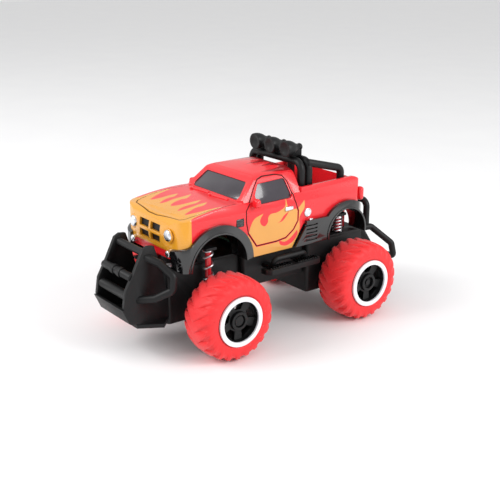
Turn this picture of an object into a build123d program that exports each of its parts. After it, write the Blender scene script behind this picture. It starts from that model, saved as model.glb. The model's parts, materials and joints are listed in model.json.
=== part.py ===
"""Small radio-controlled monster pickup truck, in millimetres.

+Z is up, the front of the truck faces -Y and +X is its left side. The origin is on the
ground, halfway between the tips of the two bumpers. Each moulding, shaft, gear, wheel
and fastener is its own solid and is written to parts/ under its own name.
"""

import os
from math import cos, pi, radians, sin

from build123d import *

# ---------------------------------------------------------------- driving dimensions
wheelbase = 88.6
front_overhang = 47.7  # front axle to the tip of the bull bar
rear_overhang = 43.7  # rear axle to the tip of the rear bumper
tyre_radius = 22.0
tyre_width = 21.8
wheel_face_x = 48.0  # outer face of the rims, from the centre line
body_half_width = 27.0
shell_wall = 1.4
part_gap = 0.1  # between mouldings that sit beside each other
running_gap = 0.06  # radial play of a shaft in its bush

front_axle_y = front_overhang - (front_overhang + wheelbase + rear_overhang) / 2
rear_axle_y = front_axle_y + wheelbase
axle_z = tyre_radius

# body heights and stations
rocker_z = 45.0
belt_z = 74.4
crease_z = 69.4
rail_z = 77.0
valance_z = 50.0
bed_floor_z = 65.0
bed_sill_z = 58.0
nose_y = front_axle_y - 22.3
cab_front_y = front_axle_y + 16.3
cab_rear_y = rear_axle_y - 32.6
tail_y = rear_axle_y + 11.9
roof_edge_z = 84.4
roof_crown_z = 88.3
roof_half_width = body_half_width - 6.6
cab_half_width = body_half_width - 0.8
nose_corner_x = body_half_width - 5.9
screen_run = 11.4  # length of the windscreen along Y
rail_width = 2.6
side_lean = 0.8  # how far the body side leans in at the rocker

# wheel arches
front_arch_y = front_axle_y + 1.2
front_arch_z = 45.2
front_arch_radius = 16.7
rear_arch_y = rear_axle_y - 0.9
rear_arch_z = 47.0
rear_arch_radius = 13.4
flare_width = 4.8
flare_proud = 1.8
liner_wall = 1.0
liner_inner_x = 15.6

# chassis
tub_wall = 1.4
deck_z = 43.4  # top of the tub walls
deck_thickness = 1.3
nose_half_width = 14.5
nose_bottom_z = 15.0
nose_front_y = front_axle_y - 21.7
waist_half_width = 18.7
waist_bottom_z = 26.0
waist_front_y = front_axle_y + 22.6
nose_rear_y = waist_front_y + 3.0
box_half_width = 22.4
box_bottom_z = axle_z - 7.0
box_front_y = rear_axle_y - 24.9
box_rear_y = rear_axle_y + 17.0

os.makedirs("parts", exist_ok=True)


def save(piece, name):
    """Label a finished piece and write it under its node name."""
    piece.label = name
    export_step(piece, f"parts/{name}.step")


def save_both_sides(piece, name):
    """Write a left-hand piece and its mirror image."""
    save(piece, f"{name}_left")
    save(mirror(piece, about=Plane.YZ), f"{name}_right")


def bent_tube(points, bend, radius):
    """Round bar along a route of straight runs joined by arcs of one bend radius."""
    with BuildPart() as tube:
        with BuildLine() as route:
            FilletPolyline(*points, radius=bend)
        with BuildSketch(Plane(origin=route.line @ 0, z_dir=route.line % 0)):
            Circle(radius)
        sweep()
    return tube.part


def round_bar(start, end, radius):
    """Straight round bar between two points."""
    axis = Vector(*end) - Vector(*start)
    with BuildPart() as bar:
        with BuildSketch(Plane(origin=start, z_dir=axis)):
            Circle(radius)
        extrude(amount=axis.length)
    return bar.part


def plate(outline, x_low, x_high):
    """Flat plate across X whose side view is the polygon of (y, z) points."""
    with BuildPart() as sheet:
        with BuildSketch(Plane.YZ.offset(x_low)):
            Polygon(*outline, align=None)
        extrude(amount=x_high - x_low)
    return sheet.part


# ---------------------------------------------------------------- body shell
def side_prism(inset):
    """Hood, doors and bed seen from the side, carried across the full width."""
    reach = body_half_width + 2
    under_z = rocker_z - 15
    with BuildPart() as prism:
        with BuildSketch(Plane.YZ.offset(-reach)):
            with BuildLine():
                Line((nose_y + 2.4, under_z), (nose_y + 2.4, valance_z))
                Line((nose_y + 2.4, valance_z), (nose_y + 1.0, valance_z + 5.0))
                ThreePointArc(
                    (nose_y + 1.0, valance_z + 5.0),
                    (nose_y, valance_z + 12.0),
                    (nose_y + 1.2, valance_z + 18.4),
                )
                ThreePointArc(
                    (nose_y + 1.2, valance_z + 18.4),
                    (nose_y + 2.6, belt_z - 4.0),
                    (nose_y + 5.2, belt_z - 3.2),
                )
                ThreePointArc(
                    (nose_y + 5.2, belt_z - 3.2),
                    ((nose_y + cab_front_y) / 2, belt_z - 0.8),
                    (cab_front_y + 2.0, belt_z),
                )
                Line((cab_front_y + 2.0, belt_z), (cab_rear_y, belt_z))
                Line((cab_rear_y, belt_z), (cab_rear_y, rail_z))
                Line((cab_rear_y, rail_z), (tail_y - 8.0, rail_z + 0.6))
                ThreePointArc(
                    (tail_y - 8.0, rail_z + 0.6),
                    (tail_y - 2.4, rail_z - 2.0),
                    (tail_y, rail_z - 8.0),
                )
                Line((tail_y, rail_z - 8.0), (tail_y - 0.8, bed_sill_z))
                Line((tail_y - 0.8, bed_sill_z), (tail_y - 0.8, under_z))
                Line((tail_y - 0.8, under_z), (nose_y + 2.4, under_z))
            make_face()
            if inset:
                offset(amount=-inset, kind=Kind.INTERSECTION)
        extrude(amount=2 * reach)
    return prism.part


def plan_prism(inset):
    """Plan view of the body: bowed nose with round corners, straight sides, round tail."""
    with BuildPart() as prism:
        with BuildSketch(Plane.XY.offset(rocker_z - 20)):
            with BuildLine() as edge:
                ThreePointArc(
                    (0, nose_y - 0.2),
                    (nose_corner_x * 0.54, nose_y + 0.3),
                    (nose_corner_x, nose_y + 2.2),
                )
                ThreePointArc(
                    (nose_corner_x, nose_y + 2.2),
                    (body_half_width - 1.6, nose_y + 4.4),
                    (body_half_width, nose_y + 9.0),
                )
                Line((body_half_width, nose_y + 9.0), (body_half_width, tail_y - 8.0))
                ThreePointArc(
                    (body_half_width, tail_y - 8.0),
                    (body_half_width - 1.8, tail_y - 2.3),
                    (body_half_width - 7.0, tail_y),
                )
                Line((body_half_width - 7.0, tail_y), (0, tail_y))
                mirror(edge.line, about=Plane.YZ)
            make_face()
            if inset:
                offset(amount=-inset, kind=Kind.INTERSECTION)
        extrude(amount=60)
    return prism.part


def front_prism(inset):
    """Front view of the lower body: upright sides and a rolled-over shoulder."""
    shoulder = 2.6
    top_z = rail_z + 8
    with BuildPart() as prism:
        with BuildSketch(Plane.XZ.offset(-tail_y - 5)):
            with BuildLine() as edge:
                Line((0, rocker_z - 15), (body_half_width - side_lean, rocker_z - 15))
                Line((body_half_width - side_lean, rocker_z - 15), (body_half_width - side_lean, rocker_z))
                Line((body_half_width - side_lean, rocker_z), (body_half_width, crease_z))
                Line((body_half_width, crease_z), (body_half_width - 0.9, belt_z - shoulder + 2.4))
                Line((body_half_width - 0.9, belt_z - shoulder + 2.4), (body_half_width - 1.5, top_z))
                Line((body_half_width - 1.5, top_z), (0, top_z))
                mirror(edge.line, about=Plane.YZ)
            make_face()
            if inset:
                offset(amount=-inset, kind=Kind.INTERSECTION)
        extrude(amount=tail_y - nose_y + 10)
    return prism.part


def lower_body(inset=0):
    """Hood, doors and bed as one solid form, drawn in from its surface by inset."""
    with BuildPart() as form:
        add(side_prism(inset))
        add(plan_prism(inset), mode=Mode.INTERSECT)
        add(front_prism(inset), mode=Mode.INTERSECT)
    return form.part


def cab_form(inset=0):
    """Cab above the belt line as one solid form, drawn in from its surface by inset."""
    reach = body_half_width + 2
    base_z = belt_z - 12
    roof_front_y = cab_front_y + screen_run
    with BuildPart() as form:
        with BuildSketch(Plane.YZ.offset(-reach)):
            with BuildLine():
                Line((cab_front_y, base_z), (cab_front_y, belt_z - 0.8))
                Line((cab_front_y, belt_z - 0.8), (roof_front_y, roof_edge_z + 0.4))
                ThreePointArc(
                    (roof_front_y, roof_edge_z + 0.4),
                    (roof_front_y + 11.0, roof_crown_z),
                    (cab_rear_y - 1.4, roof_crown_z - 1.6),
                )
                Line((cab_rear_y - 1.4, roof_crown_z - 1.6), (cab_rear_y, rail_z - 1))
                Line((cab_rear_y, rail_z - 1), (cab_rear_y, base_z))
                Line((cab_rear_y, base_z), (cab_front_y, base_z))
            make_face()
            if inset:
                offset(amount=-inset, kind=Kind.INTERSECTION)
        extrude(amount=2 * reach)
        with BuildSketch(Plane.XZ.offset(-cab_rear_y - 2)):
            with BuildLine() as edge:
                Line((0, base_z), (cab_half_width, base_z))
                Line((cab_half_width, base_z), (cab_half_width, belt_z - 2.4))
                Line((cab_half_width, belt_z - 2.4), (roof_half_width, roof_edge_z))
                ThreePointArc(
                    (roof_half_width, roof_edge_z),
                    (roof_half_width * 0.86, roof_edge_z + 1.5),
                    (roof_half_width * 0.68, roof_edge_z + 2.3),
                )
                ThreePointArc(
                    (roof_half_width * 0.68, roof_edge_z + 2.3),
                    (roof_half_width * 0.35, roof_crown_z - 0.3),
                    (0, roof_crown_z + 0.1),
                )
                mirror(edge.line, about=Plane.YZ)
            make_face()
            if inset:
                offset(amount=-inset, kind=Kind.INTERSECTION)
        extrude(amount=cab_rear_y - cab_front_y + 4, mode=Mode.INTERSECT)
        with BuildSketch(Plane.XY.offset(base_z - 2)):
            with BuildLine() as edge:
                ThreePointArc(
                    (0, cab_front_y),
                    (cab_half_width * 0.55, cab_front_y + 0.7),
                    (cab_half_width + 1, cab_front_y + 2.6),
                )
                Line((cab_half_width + 1, cab_front_y + 2.6), (cab_half_width + 1, cab_rear_y))
                Line((cab_half_width + 1, cab_rear_y), (0, cab_rear_y))
                mirror(edge.line, about=Plane.YZ)
            make_face()
            if inset:
                offset(amount=-inset, kind=Kind.INTERSECTION)
        extrude(amount=40, mode=Mode.INTERSECT)
    return form.part


def wheel_cutter(centre_y, centre_z, radius):
    """Cylinder across the full width, for an arch over a pair of wheels."""
    reach = body_half_width + 5
    with BuildPart() as cutter:
        with BuildSketch(Plane.YZ.offset(-reach)):
            with Locations((centre_y, centre_z)):
                Circle(radius)
        extrude(amount=2 * reach)
    return cutter.part


front_cut_radius = front_arch_radius + liner_wall + part_gap
rear_cut_radius = rear_arch_radius + liner_wall + part_gap
sill_rise_y = cab_rear_y - 6.2  # where the rocker starts to rise behind the door
sill_top_y = cab_rear_y + 1.2
sill_top_z = 57.0

# side window as (y, z) corners, and windscreen as (x, z) corners of its left half
side_window = (
    (cab_front_y + 10.6, belt_z - 2.0),
    (cab_front_y + 10.2, belt_z + 2.6),
    (cab_front_y + 13.6, roof_edge_z - 2.3),
    (cab_rear_y - 8.4, roof_edge_z - 1.8),
    (cab_rear_y - 6.2, belt_z - 1.8),
)
windscreen = (
    (-21.0, belt_z + 0.6),
    (-17.4, roof_edge_z - 1.5),
    (17.4, roof_edge_z - 1.5),
    (21.0, belt_z + 0.6),
)
rear_window = (
    (-16.5, rail_z + 0.8),
    (-14.5, roof_edge_z - 0.6),
    (14.5, roof_edge_z - 0.6),
    (16.5, rail_z + 0.8),
)


def window_prisms(shrink):
    """Blocks through the window openings, smaller than the openings by shrink."""
    corner = 1.6
    reach = body_half_width + 2
    with BuildPart() as blocks:
        with BuildSketch(Plane.YZ.offset(-reach)) as side:
            Polygon(*side_window, align=None)
            fillet(side.vertices(), corner)
            if shrink:
                offset(amount=-shrink)
        extrude(amount=2 * reach)
    with BuildPart() as screen:
        with BuildSketch(Plane.XZ.offset(-cab_front_y - screen_run - 4)) as front:
            Polygon(*windscreen, align=None)
            fillet(front.vertices(), corner)
            if shrink:
                offset(amount=-shrink)
        extrude(amount=screen_run + 14)
    with BuildPart() as back:
        with BuildSketch(Plane.XZ.offset(-cab_rear_y - 3)) as rear:
            Polygon(*rear_window, align=None)
            fillet(rear.vertices(), corner)
            if shrink:
                offset(amount=-shrink)
        extrude(amount=8)
    return [blocks.part, screen.part, back.part]


def under_cutter():
    """Everything below the lower edge of the body."""
    reach = body_half_width + 5
    outline = (
        (nose_y - 8, valance_z),
        (front_arch_y - 10, valance_z),
        (front_arch_y - 10, rocker_z + 8),
        (front_arch_y + 10, rocker_z + 8),
        (front_arch_y + 10, rocker_z),
        (sill_rise_y, rocker_z),
        (sill_top_y, sill_top_z),
        (rear_arch_y, sill_top_z),
        (rear_arch_y, bed_sill_z),
        (tail_y + 8, bed_sill_z),
        (tail_y + 8, rocker_z - 30),
        (nose_y - 8, rocker_z - 30),
    )
    return plate(outline, -reach, reach)


grille_pitch_x = 10.4
grille_window = (8.8, 4.0)
grille_rows_z = (valance_z + 9.2, valance_z + 14.8)
headlight_x = 16.3
headlight_z = valance_z + 12.9
headlight_radius = 3.1
fog_x = 16.6
fog_z = valance_z + 3.6
fog_radius = 1.8


def front_openings():
    """Grille windows and headlight holes, as blocks through the nose."""
    with BuildPart() as blocks:
        with BuildSketch(Plane.XZ.offset(-nose_y - 6)):
            for row_z in grille_rows_z:
                with Locations((-grille_pitch_x / 2, row_z), (grille_pitch_x / 2, row_z)):
                    Rectangle(*grille_window)
            with Locations((-headlight_x, headlight_z), (headlight_x, headlight_z)):
                Circle(headlight_radius + part_gap)
            with Locations((-fog_x, fog_z), (fog_x, fog_z)):
                Circle(fog_radius + part_gap)
        extrude(amount=12)
    return blocks.part


screw_radius = 1.0
screw_gap = 0.02
screw_length = 8.0
screw_head = 1.0
post_radius = 2.6
front_post = (10.0, nose_y + 9.6)
rear_post = (11.5, tail_y - 2.4)
post_spots = [(side * x, y) for x, y in (front_post, rear_post) for side in (-1, 1)]
deck_top_z = deck_z + deck_thickness


def body_shell():
    """Thin-walled body: open windows, arches and cargo bed, with screw posts inside."""
    bed_front = cab_rear_y + 0.9
    bed_rear = tail_y - 2.4
    with BuildPart() as hollow:
        add(lower_body(shell_wall))
        with BuildSketch(Plane.XY.offset(bed_floor_z - shell_wall)):
            with Locations((0, (cab_rear_y - shell_wall + tail_y + 5) / 2)):
                Rectangle(2 * body_half_width + 4, tail_y + 5 - cab_rear_y + shell_wall)
        extrude(amount=30, mode=Mode.SUBTRACT)
        add(cab_form(shell_wall))
    with BuildPart() as shell:
        add(lower_body())
        add(cab_form())
        add(hollow.part, mode=Mode.SUBTRACT)
        with BuildSketch(Plane.XY.offset(bed_floor_z)) as bed:
            with Locations((0, (bed_front + bed_rear) / 2)):
                Rectangle(2 * (body_half_width - rail_width), bed_rear - bed_front)
            fillet(bed.vertices(), 2.0)
        extrude(amount=30, mode=Mode.SUBTRACT)
        add(wheel_cutter(front_arch_y, front_arch_z, front_cut_radius), mode=Mode.SUBTRACT)
        add(wheel_cutter(rear_arch_y, rear_arch_z, rear_cut_radius), mode=Mode.SUBTRACT)
        add(under_cutter(), mode=Mode.SUBTRACT)
        add(window_prisms(0), mode=Mode.SUBTRACT)
        add(front_openings(), mode=Mode.SUBTRACT)
        with BuildSketch(Plane.XY.offset(deck_top_z)):
            with Locations(*post_spots):
                Circle(post_radius)
        extrude(amount=bed_floor_z - shell_wall / 2 - deck_top_z)
        with BuildSketch(Plane.XY.offset(bed_floor_z - shell_wall)):
            with Locations(*[spot for spot in post_spots if spot[1] < 0]):
                Circle(post_radius)
        extrude(amount=belt_z - 2.6 - bed_floor_z + shell_wall)
        with BuildSketch(Plane.XY.offset(deck_top_z)):
            with Locations(*post_spots):
                Circle(screw_radius + screw_gap)
        extrude(amount=8, mode=Mode.SUBTRACT)
    return shell.part


def window_glass():
    """Clear liner inside the cab whose panes stand up into the window openings."""
    seat = shell_wall + part_gap
    with BuildPart() as panes:
        add(cab_form(0.35))
        add(cab_form(seat + 0.5), mode=Mode.SUBTRACT)
        with BuildPart(mode=Mode.PRIVATE) as blocks:
            add(window_prisms(part_gap))
        add(blocks.part, mode=Mode.INTERSECT)
    with BuildPart() as glass:
        add(cab_form(seat))
        add(cab_form(seat + 1.0), mode=Mode.SUBTRACT)
        with BuildSketch(Plane.XY.offset(belt_z - 5)):
            Rectangle(4 * body_half_width, 2 * wheelbase)
        extrude(amount=-20, mode=Mode.SUBTRACT)
        add(panes.part)
    return glass.part


# ---------------------------------------------------------------- body trim
def grille_insert():
    """Dark panel that follows the inside of the nose behind the grille windows."""
    seat = shell_wall + part_gap
    with BuildPart() as panel:
        add(lower_body(seat))
        add(lower_body(seat + 1.0), mode=Mode.SUBTRACT)
        with BuildSketch(Plane.XZ.offset(-nose_y - 6)):
            with Locations((0, sum(grille_rows_z) / 2)):
                Rectangle(2 * grille_pitch_x + 2, 12)
        extrude(amount=12, mode=Mode.INTERSECT)
    return panel.part


def lamp_pair(x, z, radius, front_y, depth, crown):
    """Two round lenses facing forward, one each side, with a rolled front edge."""
    with BuildPart() as pair:
        with BuildSketch(Plane.XZ.offset(-front_y - depth)):
            with Locations((-x, z), (x, z)):
                Circle(radius)
        extrude(amount=depth)
        front_edges = pair.edges().group_by(Axis.Y)[0]
        fillet(front_edges, crown)
    return pair.part


def flare_skin(x_start):
    """Layer that wraps the outside of the body, on the left side only."""
    with BuildPart() as layer:
        add(lower_body(-flare_proud))
        add(lower_body(-part_gap), mode=Mode.SUBTRACT)
        with BuildSketch(Plane.XY.offset(rocker_z - 20)):
            with Locations(((x_start + body_half_width + 5) / 2, 0)):
                Rectangle(body_half_width + 5 - x_start, 2 * wheelbase)
        extrude(amount=60, mode=Mode.INTERSECT)
    return layer.part


def arch_liner(centre_y, centre_z, radius, floor_z):
    """Wheel-well tube behind a flare, cut off level at its floor."""
    with BuildPart() as liner:
        with BuildSketch(Plane.YZ.offset(liner_inner_x)) as ring:
            with Locations((centre_y, centre_z)):
                Circle(radius + liner_wall)
                Circle(radius, mode=Mode.SUBTRACT)
            with Locations((centre_y, floor_z - radius)):
                Rectangle(4 * radius, 2 * radius, mode=Mode.SUBTRACT)
        extrude(amount=body_half_width + flare_proud - liner_inner_x)
    return liner.part


def flare_front():
    """Front arch flare with its liner and the louvred panel at the bumper corner."""
    floor_z = deck_top_z + 0.6
    corner = (
        (front_arch_y - 16.5, front_arch_z + 13.8),
        (nose_y - 2.4, valance_z + 4.8),
        (nose_y - 2.4, valance_z - 3.8),
        (front_arch_y - 8, valance_z - 3.8),
        (front_arch_y, valance_z + 4),
    )
    with BuildPart() as flare:
        with BuildSketch(Plane.YZ.offset(corner_wrap_x)):
            Polygon(*corner, align=None)
            with Locations((front_arch_y, front_arch_z)):
                Circle(front_arch_radius + flare_width)
                Circle(front_arch_radius, mode=Mode.SUBTRACT)
            with Locations((front_arch_y, floor_z - 20)):
                Rectangle(100, 40, mode=Mode.SUBTRACT)
        extrude(amount=body_half_width + 5 - corner_wrap_x)
        add(flare_skin(corner_wrap_x), mode=Mode.INTERSECT)
        add(arch_liner(front_arch_y, front_arch_z, front_arch_radius, floor_z))
        louvre_cuts = [(nose_y + 2.2, valance_z - 1.9 + row * 1.7) for row in range(3)]
        with BuildSketch(Plane.YZ.offset(body_half_width - 3)):
            with Locations(*louvre_cuts):
                Rectangle(5.0, 0.7)
        extrude(amount=1.6, mode=Mode.SUBTRACT)
    return flare.part


def flare_rear():
    """Rear arch flare with its liner and the louvred panel behind the door."""
    floor_z = deck_top_z + 0.6
    panel = (
        (sill_rise_y + 1.2, floor_z),
        (sill_top_y + 1.0, sill_top_z - 1.0),
        (sill_top_y + 1.0, sill_top_z + 1.6),
        (rear_arch_y - rear_arch_radius - 1, sill_top_z + 1.6),
        (rear_arch_y - 4, floor_z),
    )
    with BuildPart() as flare:
        with BuildSketch(Plane.YZ.offset(corner_wrap_x)):
            Polygon(*panel, align=None)
            with Locations((rear_arch_y, rear_arch_z)):
                Circle(rear_arch_radius + flare_width)
                Circle(rear_arch_radius, mode=Mode.SUBTRACT)
            with Locations((rear_arch_y, floor_z - 20)):
                Rectangle(100, 40, mode=Mode.SUBTRACT)
            with Locations((tail_y + 12.2, rear_arch_z)):
                Rectangle(20, 60, mode=Mode.SUBTRACT)
        extrude(amount=body_half_width + 5 - corner_wrap_x)
        add(flare_skin(corner_wrap_x), mode=Mode.INTERSECT)
        add(arch_liner(rear_arch_y, rear_arch_z, rear_arch_radius, floor_z))
        louvre_cuts = [(cab_rear_y + 6.0, floor_z + 2.2 + row * 2.1) for row in range(5)]
        with BuildSketch(Plane.YZ.offset(body_half_width + flare_proud - 1.8)):
            with Locations(*louvre_cuts):
                Rectangle(8.0, 0.8)
        extrude(amount=4, mode=Mode.SUBTRACT)
    return flare.part


corner_wrap_x = 19.0
mirror_y = cab_front_y + 7.6
mirror_z = belt_z - 0.2


def mirror_left():
    """Door mirror on a short foot."""
    foot_x = body_half_width - 1.0
    with BuildPart() as piece:
        with BuildSketch(Plane.XZ.offset(-mirror_y - 1.4)) as head:
            with Locations((body_half_width + 1.6, mirror_z)):
                Rectangle(4.4, 4.6)
            fillet(head.vertices(), 1.7)
        extrude(amount=2.8)
        fillet(piece.edges().group_by(Axis.Y)[0], 0.9)
        fillet(piece.edges().group_by(Axis.Y)[-1], 0.5)
        neck_start = (foot_x + 1.3, mirror_y, mirror_z - 1.2)
        add(round_bar(neck_start, (body_half_width + 1.6, mirror_y, mirror_z), 0.9))
    return piece.part


hoop_x = 21.0
hoop_tube = 2.1
hoop_top_z = 89.0
hoop_front_y = cab_rear_y + 3.8
hoop_rear_y = hoop_front_y + 5.2
stay_foot_y = rear_axle_y - 0.4
lamp_z = 95.5
lamp_face_y = cab_rear_y - 1.2
lamp_pitch = 13.0


def roll_bar():
    """Two hoops across the bed and a stay each side running back to the bed floor."""
    with BuildPart() as frame:
        for y in (hoop_front_y, hoop_rear_y):
            hoop = (
                (-hoop_x, y, bed_floor_z),
                (-hoop_x, y, hoop_top_z),
                (hoop_x, y, hoop_top_z),
                (hoop_x, y, bed_floor_z),
            )
            add(bent_tube(hoop, 4.6, hoop_tube))
        for side in (-1, 1):
            stay = (
                (side * hoop_x, hoop_rear_y - 1.0, hoop_top_z - 0.6),
                (side * hoop_x, stay_foot_y, hoop_top_z - 7.0),
                (side * hoop_x, stay_foot_y, bed_floor_z),
            )
            add(bent_tube(stay, 3.4, hoop_tube))
            with BuildSketch(Plane.XY.offset(bed_floor_z)):
                with Locations((side * hoop_x, (hoop_front_y + stay_foot_y) / 2)):
                    Rectangle(3.2, stay_foot_y - hoop_front_y)
            extrude(amount=1.2)
    return frame.part


def spot_lamps():
    """Three bell-shaped lamps on saddles over the hoops."""
    with BuildPart() as lamps:
        for x in (-lamp_pitch, 0, lamp_pitch):
            with BuildSketch(Plane(origin=(x, lamp_face_y, lamp_z), x_dir=(0, 1, 0), z_dir=(1, 0, 0))):
                with BuildLine():
                    Line((1.6, 0), (0, 3.5))
                    Line((0, 3.5), (0, 4.3))
                    ThreePointArc((0, 4.3), (4.2, 3.9), (7.0, 2.4))
                    Line((7.0, 2.4), (9.2, 1.6))
                    ThreePointArc((9.2, 1.6), (10.6, 1.9), (11.6, 0))
                    Line((11.6, 0), (1.6, 0))
                make_face()
            revolve(axis=Axis((x, 0, lamp_z), (0, 1, 0)))
            saddle_z = hoop_top_z + hoop_tube + 0.02
            with BuildSketch(Plane.XY.offset(saddle_z)):
                with Locations((x, (hoop_front_y + hoop_rear_y) / 2)):
                    Rectangle(3.0, hoop_rear_y - hoop_front_y + 1)
            extrude(amount=lamp_z - saddle_z)
    return lamps.part


# ---------------------------------------------------------------- bumpers and steps
bar_plate_x = 12.6
bar_plate_thickness = 2.0
bar_tube = 2.0
skid_thickness = 2.0


def ahead(distance):
    """Station measured back from the tip of the bull bar."""
    return front_axle_y - front_overhang + distance


bar_side = (
    (ahead(19.0), 58.6),
    (ahead(15.4), 59.0),
    (ahead(12.6), 57.6),
    (ahead(7.0), 46.5),
    (ahead(2.2), 38.2),
    (ahead(0.8), 29.6),
    (ahead(4.0), 21.4),
    (ahead(20.0), 17.4),
    (nose_front_y, 17.4),
    (nose_front_y, 33.0),
    (ahead(22.0), 49.0),
)
bar_loop = (
    (bar_plate_x + 1.0, ahead(14.6), 53.6),
    (20.0, ahead(18.6), 51.2),
    (26.6, ahead(22.2), 45.6),
    (26.6, ahead(21.6), 38.4),
    (21.0, ahead(15.0), 34.0),
    (bar_plate_x + 1.0, ahead(9.4), 32.2),
)
bar_cross_tubes = (
    (ahead(15.0), 55.0, 1.9),
    (ahead(6.6), 44.4, 2.1),
    (ahead(4.4), 35.0, 2.5),
)


def bull_bar():
    """Front guard: two side plates, three cross tubes, side loops and a skid plate."""
    outer_x = bar_plate_x + bar_plate_thickness
    with BuildPart() as guard:
        add(plate(bar_side, bar_plate_x, outer_x))
        add(plate(bar_side, -outer_x, -bar_plate_x))
        for y, z, radius in bar_cross_tubes:
            add(round_bar((-bar_plate_x - 1, y, z), (bar_plate_x + 1, y, z), radius))
        collar_y, collar_z, collar_inner = bar_cross_tubes[1]
        for x in (-4.6, 1.8):
            add(round_bar((x, collar_y, collar_z), (x + 2.8, collar_y, collar_z), collar_inner + 0.5))
        for side in (-1, 1):
            add(bent_tube([(side * x, y, z) for x, y, z in bar_loop], 2.6, bar_tube))
        scoop = (
            (ahead(0.0), 29.0),
            (ahead(3.6), 21.0),
            (ahead(19.6), 17.0),
            (ahead(20.2), 17.0 + skid_thickness),
            (ahead(5.0), 21.0 + skid_thickness),
            (ahead(1.6), 29.0),
        )
        add(plate(scoop, -outer_x, outer_x))
        with BuildSketch(Plane.XY.offset(17.4)):
            with BuildLine() as wing:
                Line((0, nose_front_y), (outer_x, nose_front_y))
                Line((outer_x, nose_front_y), (21.0, ahead(19.6)))
                Line((21.0, ahead(19.6)), (outer_x - 0.5, ahead(8.0)))
                Line((outer_x - 0.5, ahead(8.0)), (0, ahead(8.0)))
                mirror(wing.line, about=Plane.YZ)
            make_face()
        extrude(amount=skid_thickness)
    return guard.part


def behind(distance):
    """Station measured forward from the tip of the rear bumper."""
    return rear_axle_y + rear_overhang - distance


rear_tube = 1.9


def rear_bumper():
    """Rear guard: bent tubes each side, a low cross tube and a hoop behind the tail."""
    low_y = behind(rear_tube)
    with BuildPart() as guard:
        for side in (-1, 1):
            loop = (
                (side * 13.0, box_rear_y + 1.0, 41.0),
                (side * 15.0, behind(12.5), 41.0),
                (side * 24.5, behind(4.4), 31.5),
                (side * 24.5, low_y, 23.0),
                (side * 9.0, low_y, 21.6),
            )
            add(bent_tube(loop, 2.6, rear_tube))
        add(round_bar((-10.0, low_y, 21.6), (10.0, low_y, 21.6), rear_tube))
        hoop = (
            (-13.0, behind(14.6), 40.6),
            (-13.0, behind(14.6), 56.6),
            (13.0, behind(14.6), 56.6),
            (13.0, behind(14.6), 40.6),
        )
        add(bent_tube(hoop, 4.0, rear_tube))
        bracket = (
            (box_rear_y, 30.0),
            (box_rear_y, deck_z),
            (behind(13.0), deck_z),
            (behind(13.0), 38.0),
            (behind(2.4), 22.6),
            (behind(3.0), 20.6),
        )
        for x in (-10.6, 9.0):
            add(plate(bracket, x, x + 1.6))
    return guard.part


step_x = 30.0
step_width = 6.4
step_z = 35.2
step_height = 2.8
step_front_y = front_axle_y + 28.6
step_rear_y = rear_axle_y - 22.6
step_middle_y = (step_front_y + step_rear_y) / 2


def side_step():
    """Running board on two arms, with tread ribs and a round bar above it."""
    rib_pitch = 1.5
    with BuildPart() as step:
        with BuildSketch(Plane.XY.offset(step_z)) as board:
            with Locations((step_x, step_middle_y)):
                Rectangle(step_width, step_rear_y - step_front_y)
            chamfer(board.vertices().group_by(Axis.X)[-1], 2.4)
        extrude(amount=step_height)
        for group_y in (step_middle_y - 9.0, step_middle_y + 9.0):
            with BuildSketch(Plane.XY.offset(step_z + step_height)):
                with Locations((step_x + 1.2, group_y)):
                    with GridLocations(1, rib_pitch, 1, 8):
                        Rectangle(2.4, 0.7)
            extrude(amount=0.5)
        for y in (step_middle_y - 10.0, step_middle_y + 10.0):
            with BuildSketch(Plane.XY.offset(step_z)):
                with Locations(((waist_half_width + step_x) / 2, y)):
                    Rectangle(step_x - waist_half_width, 4.0)
            extrude(amount=step_height - 0.6)
        bar = (
            (25.6, step_middle_y - 10.0, step_z + 1.0),
            (27.6, step_middle_y - 11.0, 41.4),
            (27.6, step_middle_y + 11.0, 41.4),
            (25.6, step_middle_y + 10.0, step_z + 1.0),
        )
        add(bent_tube(bar, 2.4, 1.5))
    return step.part


# ---------------------------------------------------------------- chassis
axle_radius = 1.5
kingpin_x = 21.0
kingpin_radius = 1.5
arm_reach_x = 24.4
arm_half_length = 3.6
arm_thickness = 1.8
lower_arm_z = nose_bottom_z
upper_arm_z = 27.8
knuckle_radius = 3.2
steer_arm = 8.0
rod_y = front_axle_y + steer_arm
rod_z = 24.4
rod_height = 2.0
rod_depth = 2.0

gear_module = 0.5
mesh_gap = 0.06
axle_teeth = 30
small_teeth = 10
large_teeth = 30
motor_teeth = 9
steer_teeth = 8
axle_mesh_angle = 100.0
motor_mesh_angle = 5.0
axle_gear_x = 5.0
axle_gear_width = 3.6
large_gear_x = 9.0
large_gear_width = 3.0
gear_pin_radius = 1.0


def polar(centre, distance, angle):
    """Point at a distance and angle (degrees) from a centre."""
    return (centre[0] + distance * cos(radians(angle)), centre[1] + distance * sin(radians(angle)))


def centre_distance(teeth_a, teeth_b):
    """Distance between two meshing gears."""
    return gear_module * (teeth_a + teeth_b) / 2 + mesh_gap


axle_centre = (rear_axle_y, axle_z)
reduction_centre = polar(axle_centre, centre_distance(axle_teeth, small_teeth), axle_mesh_angle)
motor_centre = polar(reduction_centre, centre_distance(large_teeth, motor_teeth), motor_mesh_angle)
rack_pitch_y = rod_y + rod_depth / 2 + 0.45
steer_pinion_y = rack_pitch_y + gear_module * steer_teeth / 2 + mesh_gap

motor_length = 19.6
motor_width = 15.4
motor_shaft_radius = 0.75
motor_thickness = 12.0
motor_front_x = axle_gear_x - 0.4  # end of the drive motor nearest its pinion

switch_x = -9.0
switch_y = box_front_y + 5.4
switch_travel = 3.0
knob_length = 2.4
door_front_y = waist_front_y + 3.4
door_rear_y = box_front_y - 3.4
door_half_width = 15.2
door_gap = 0.15


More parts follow.
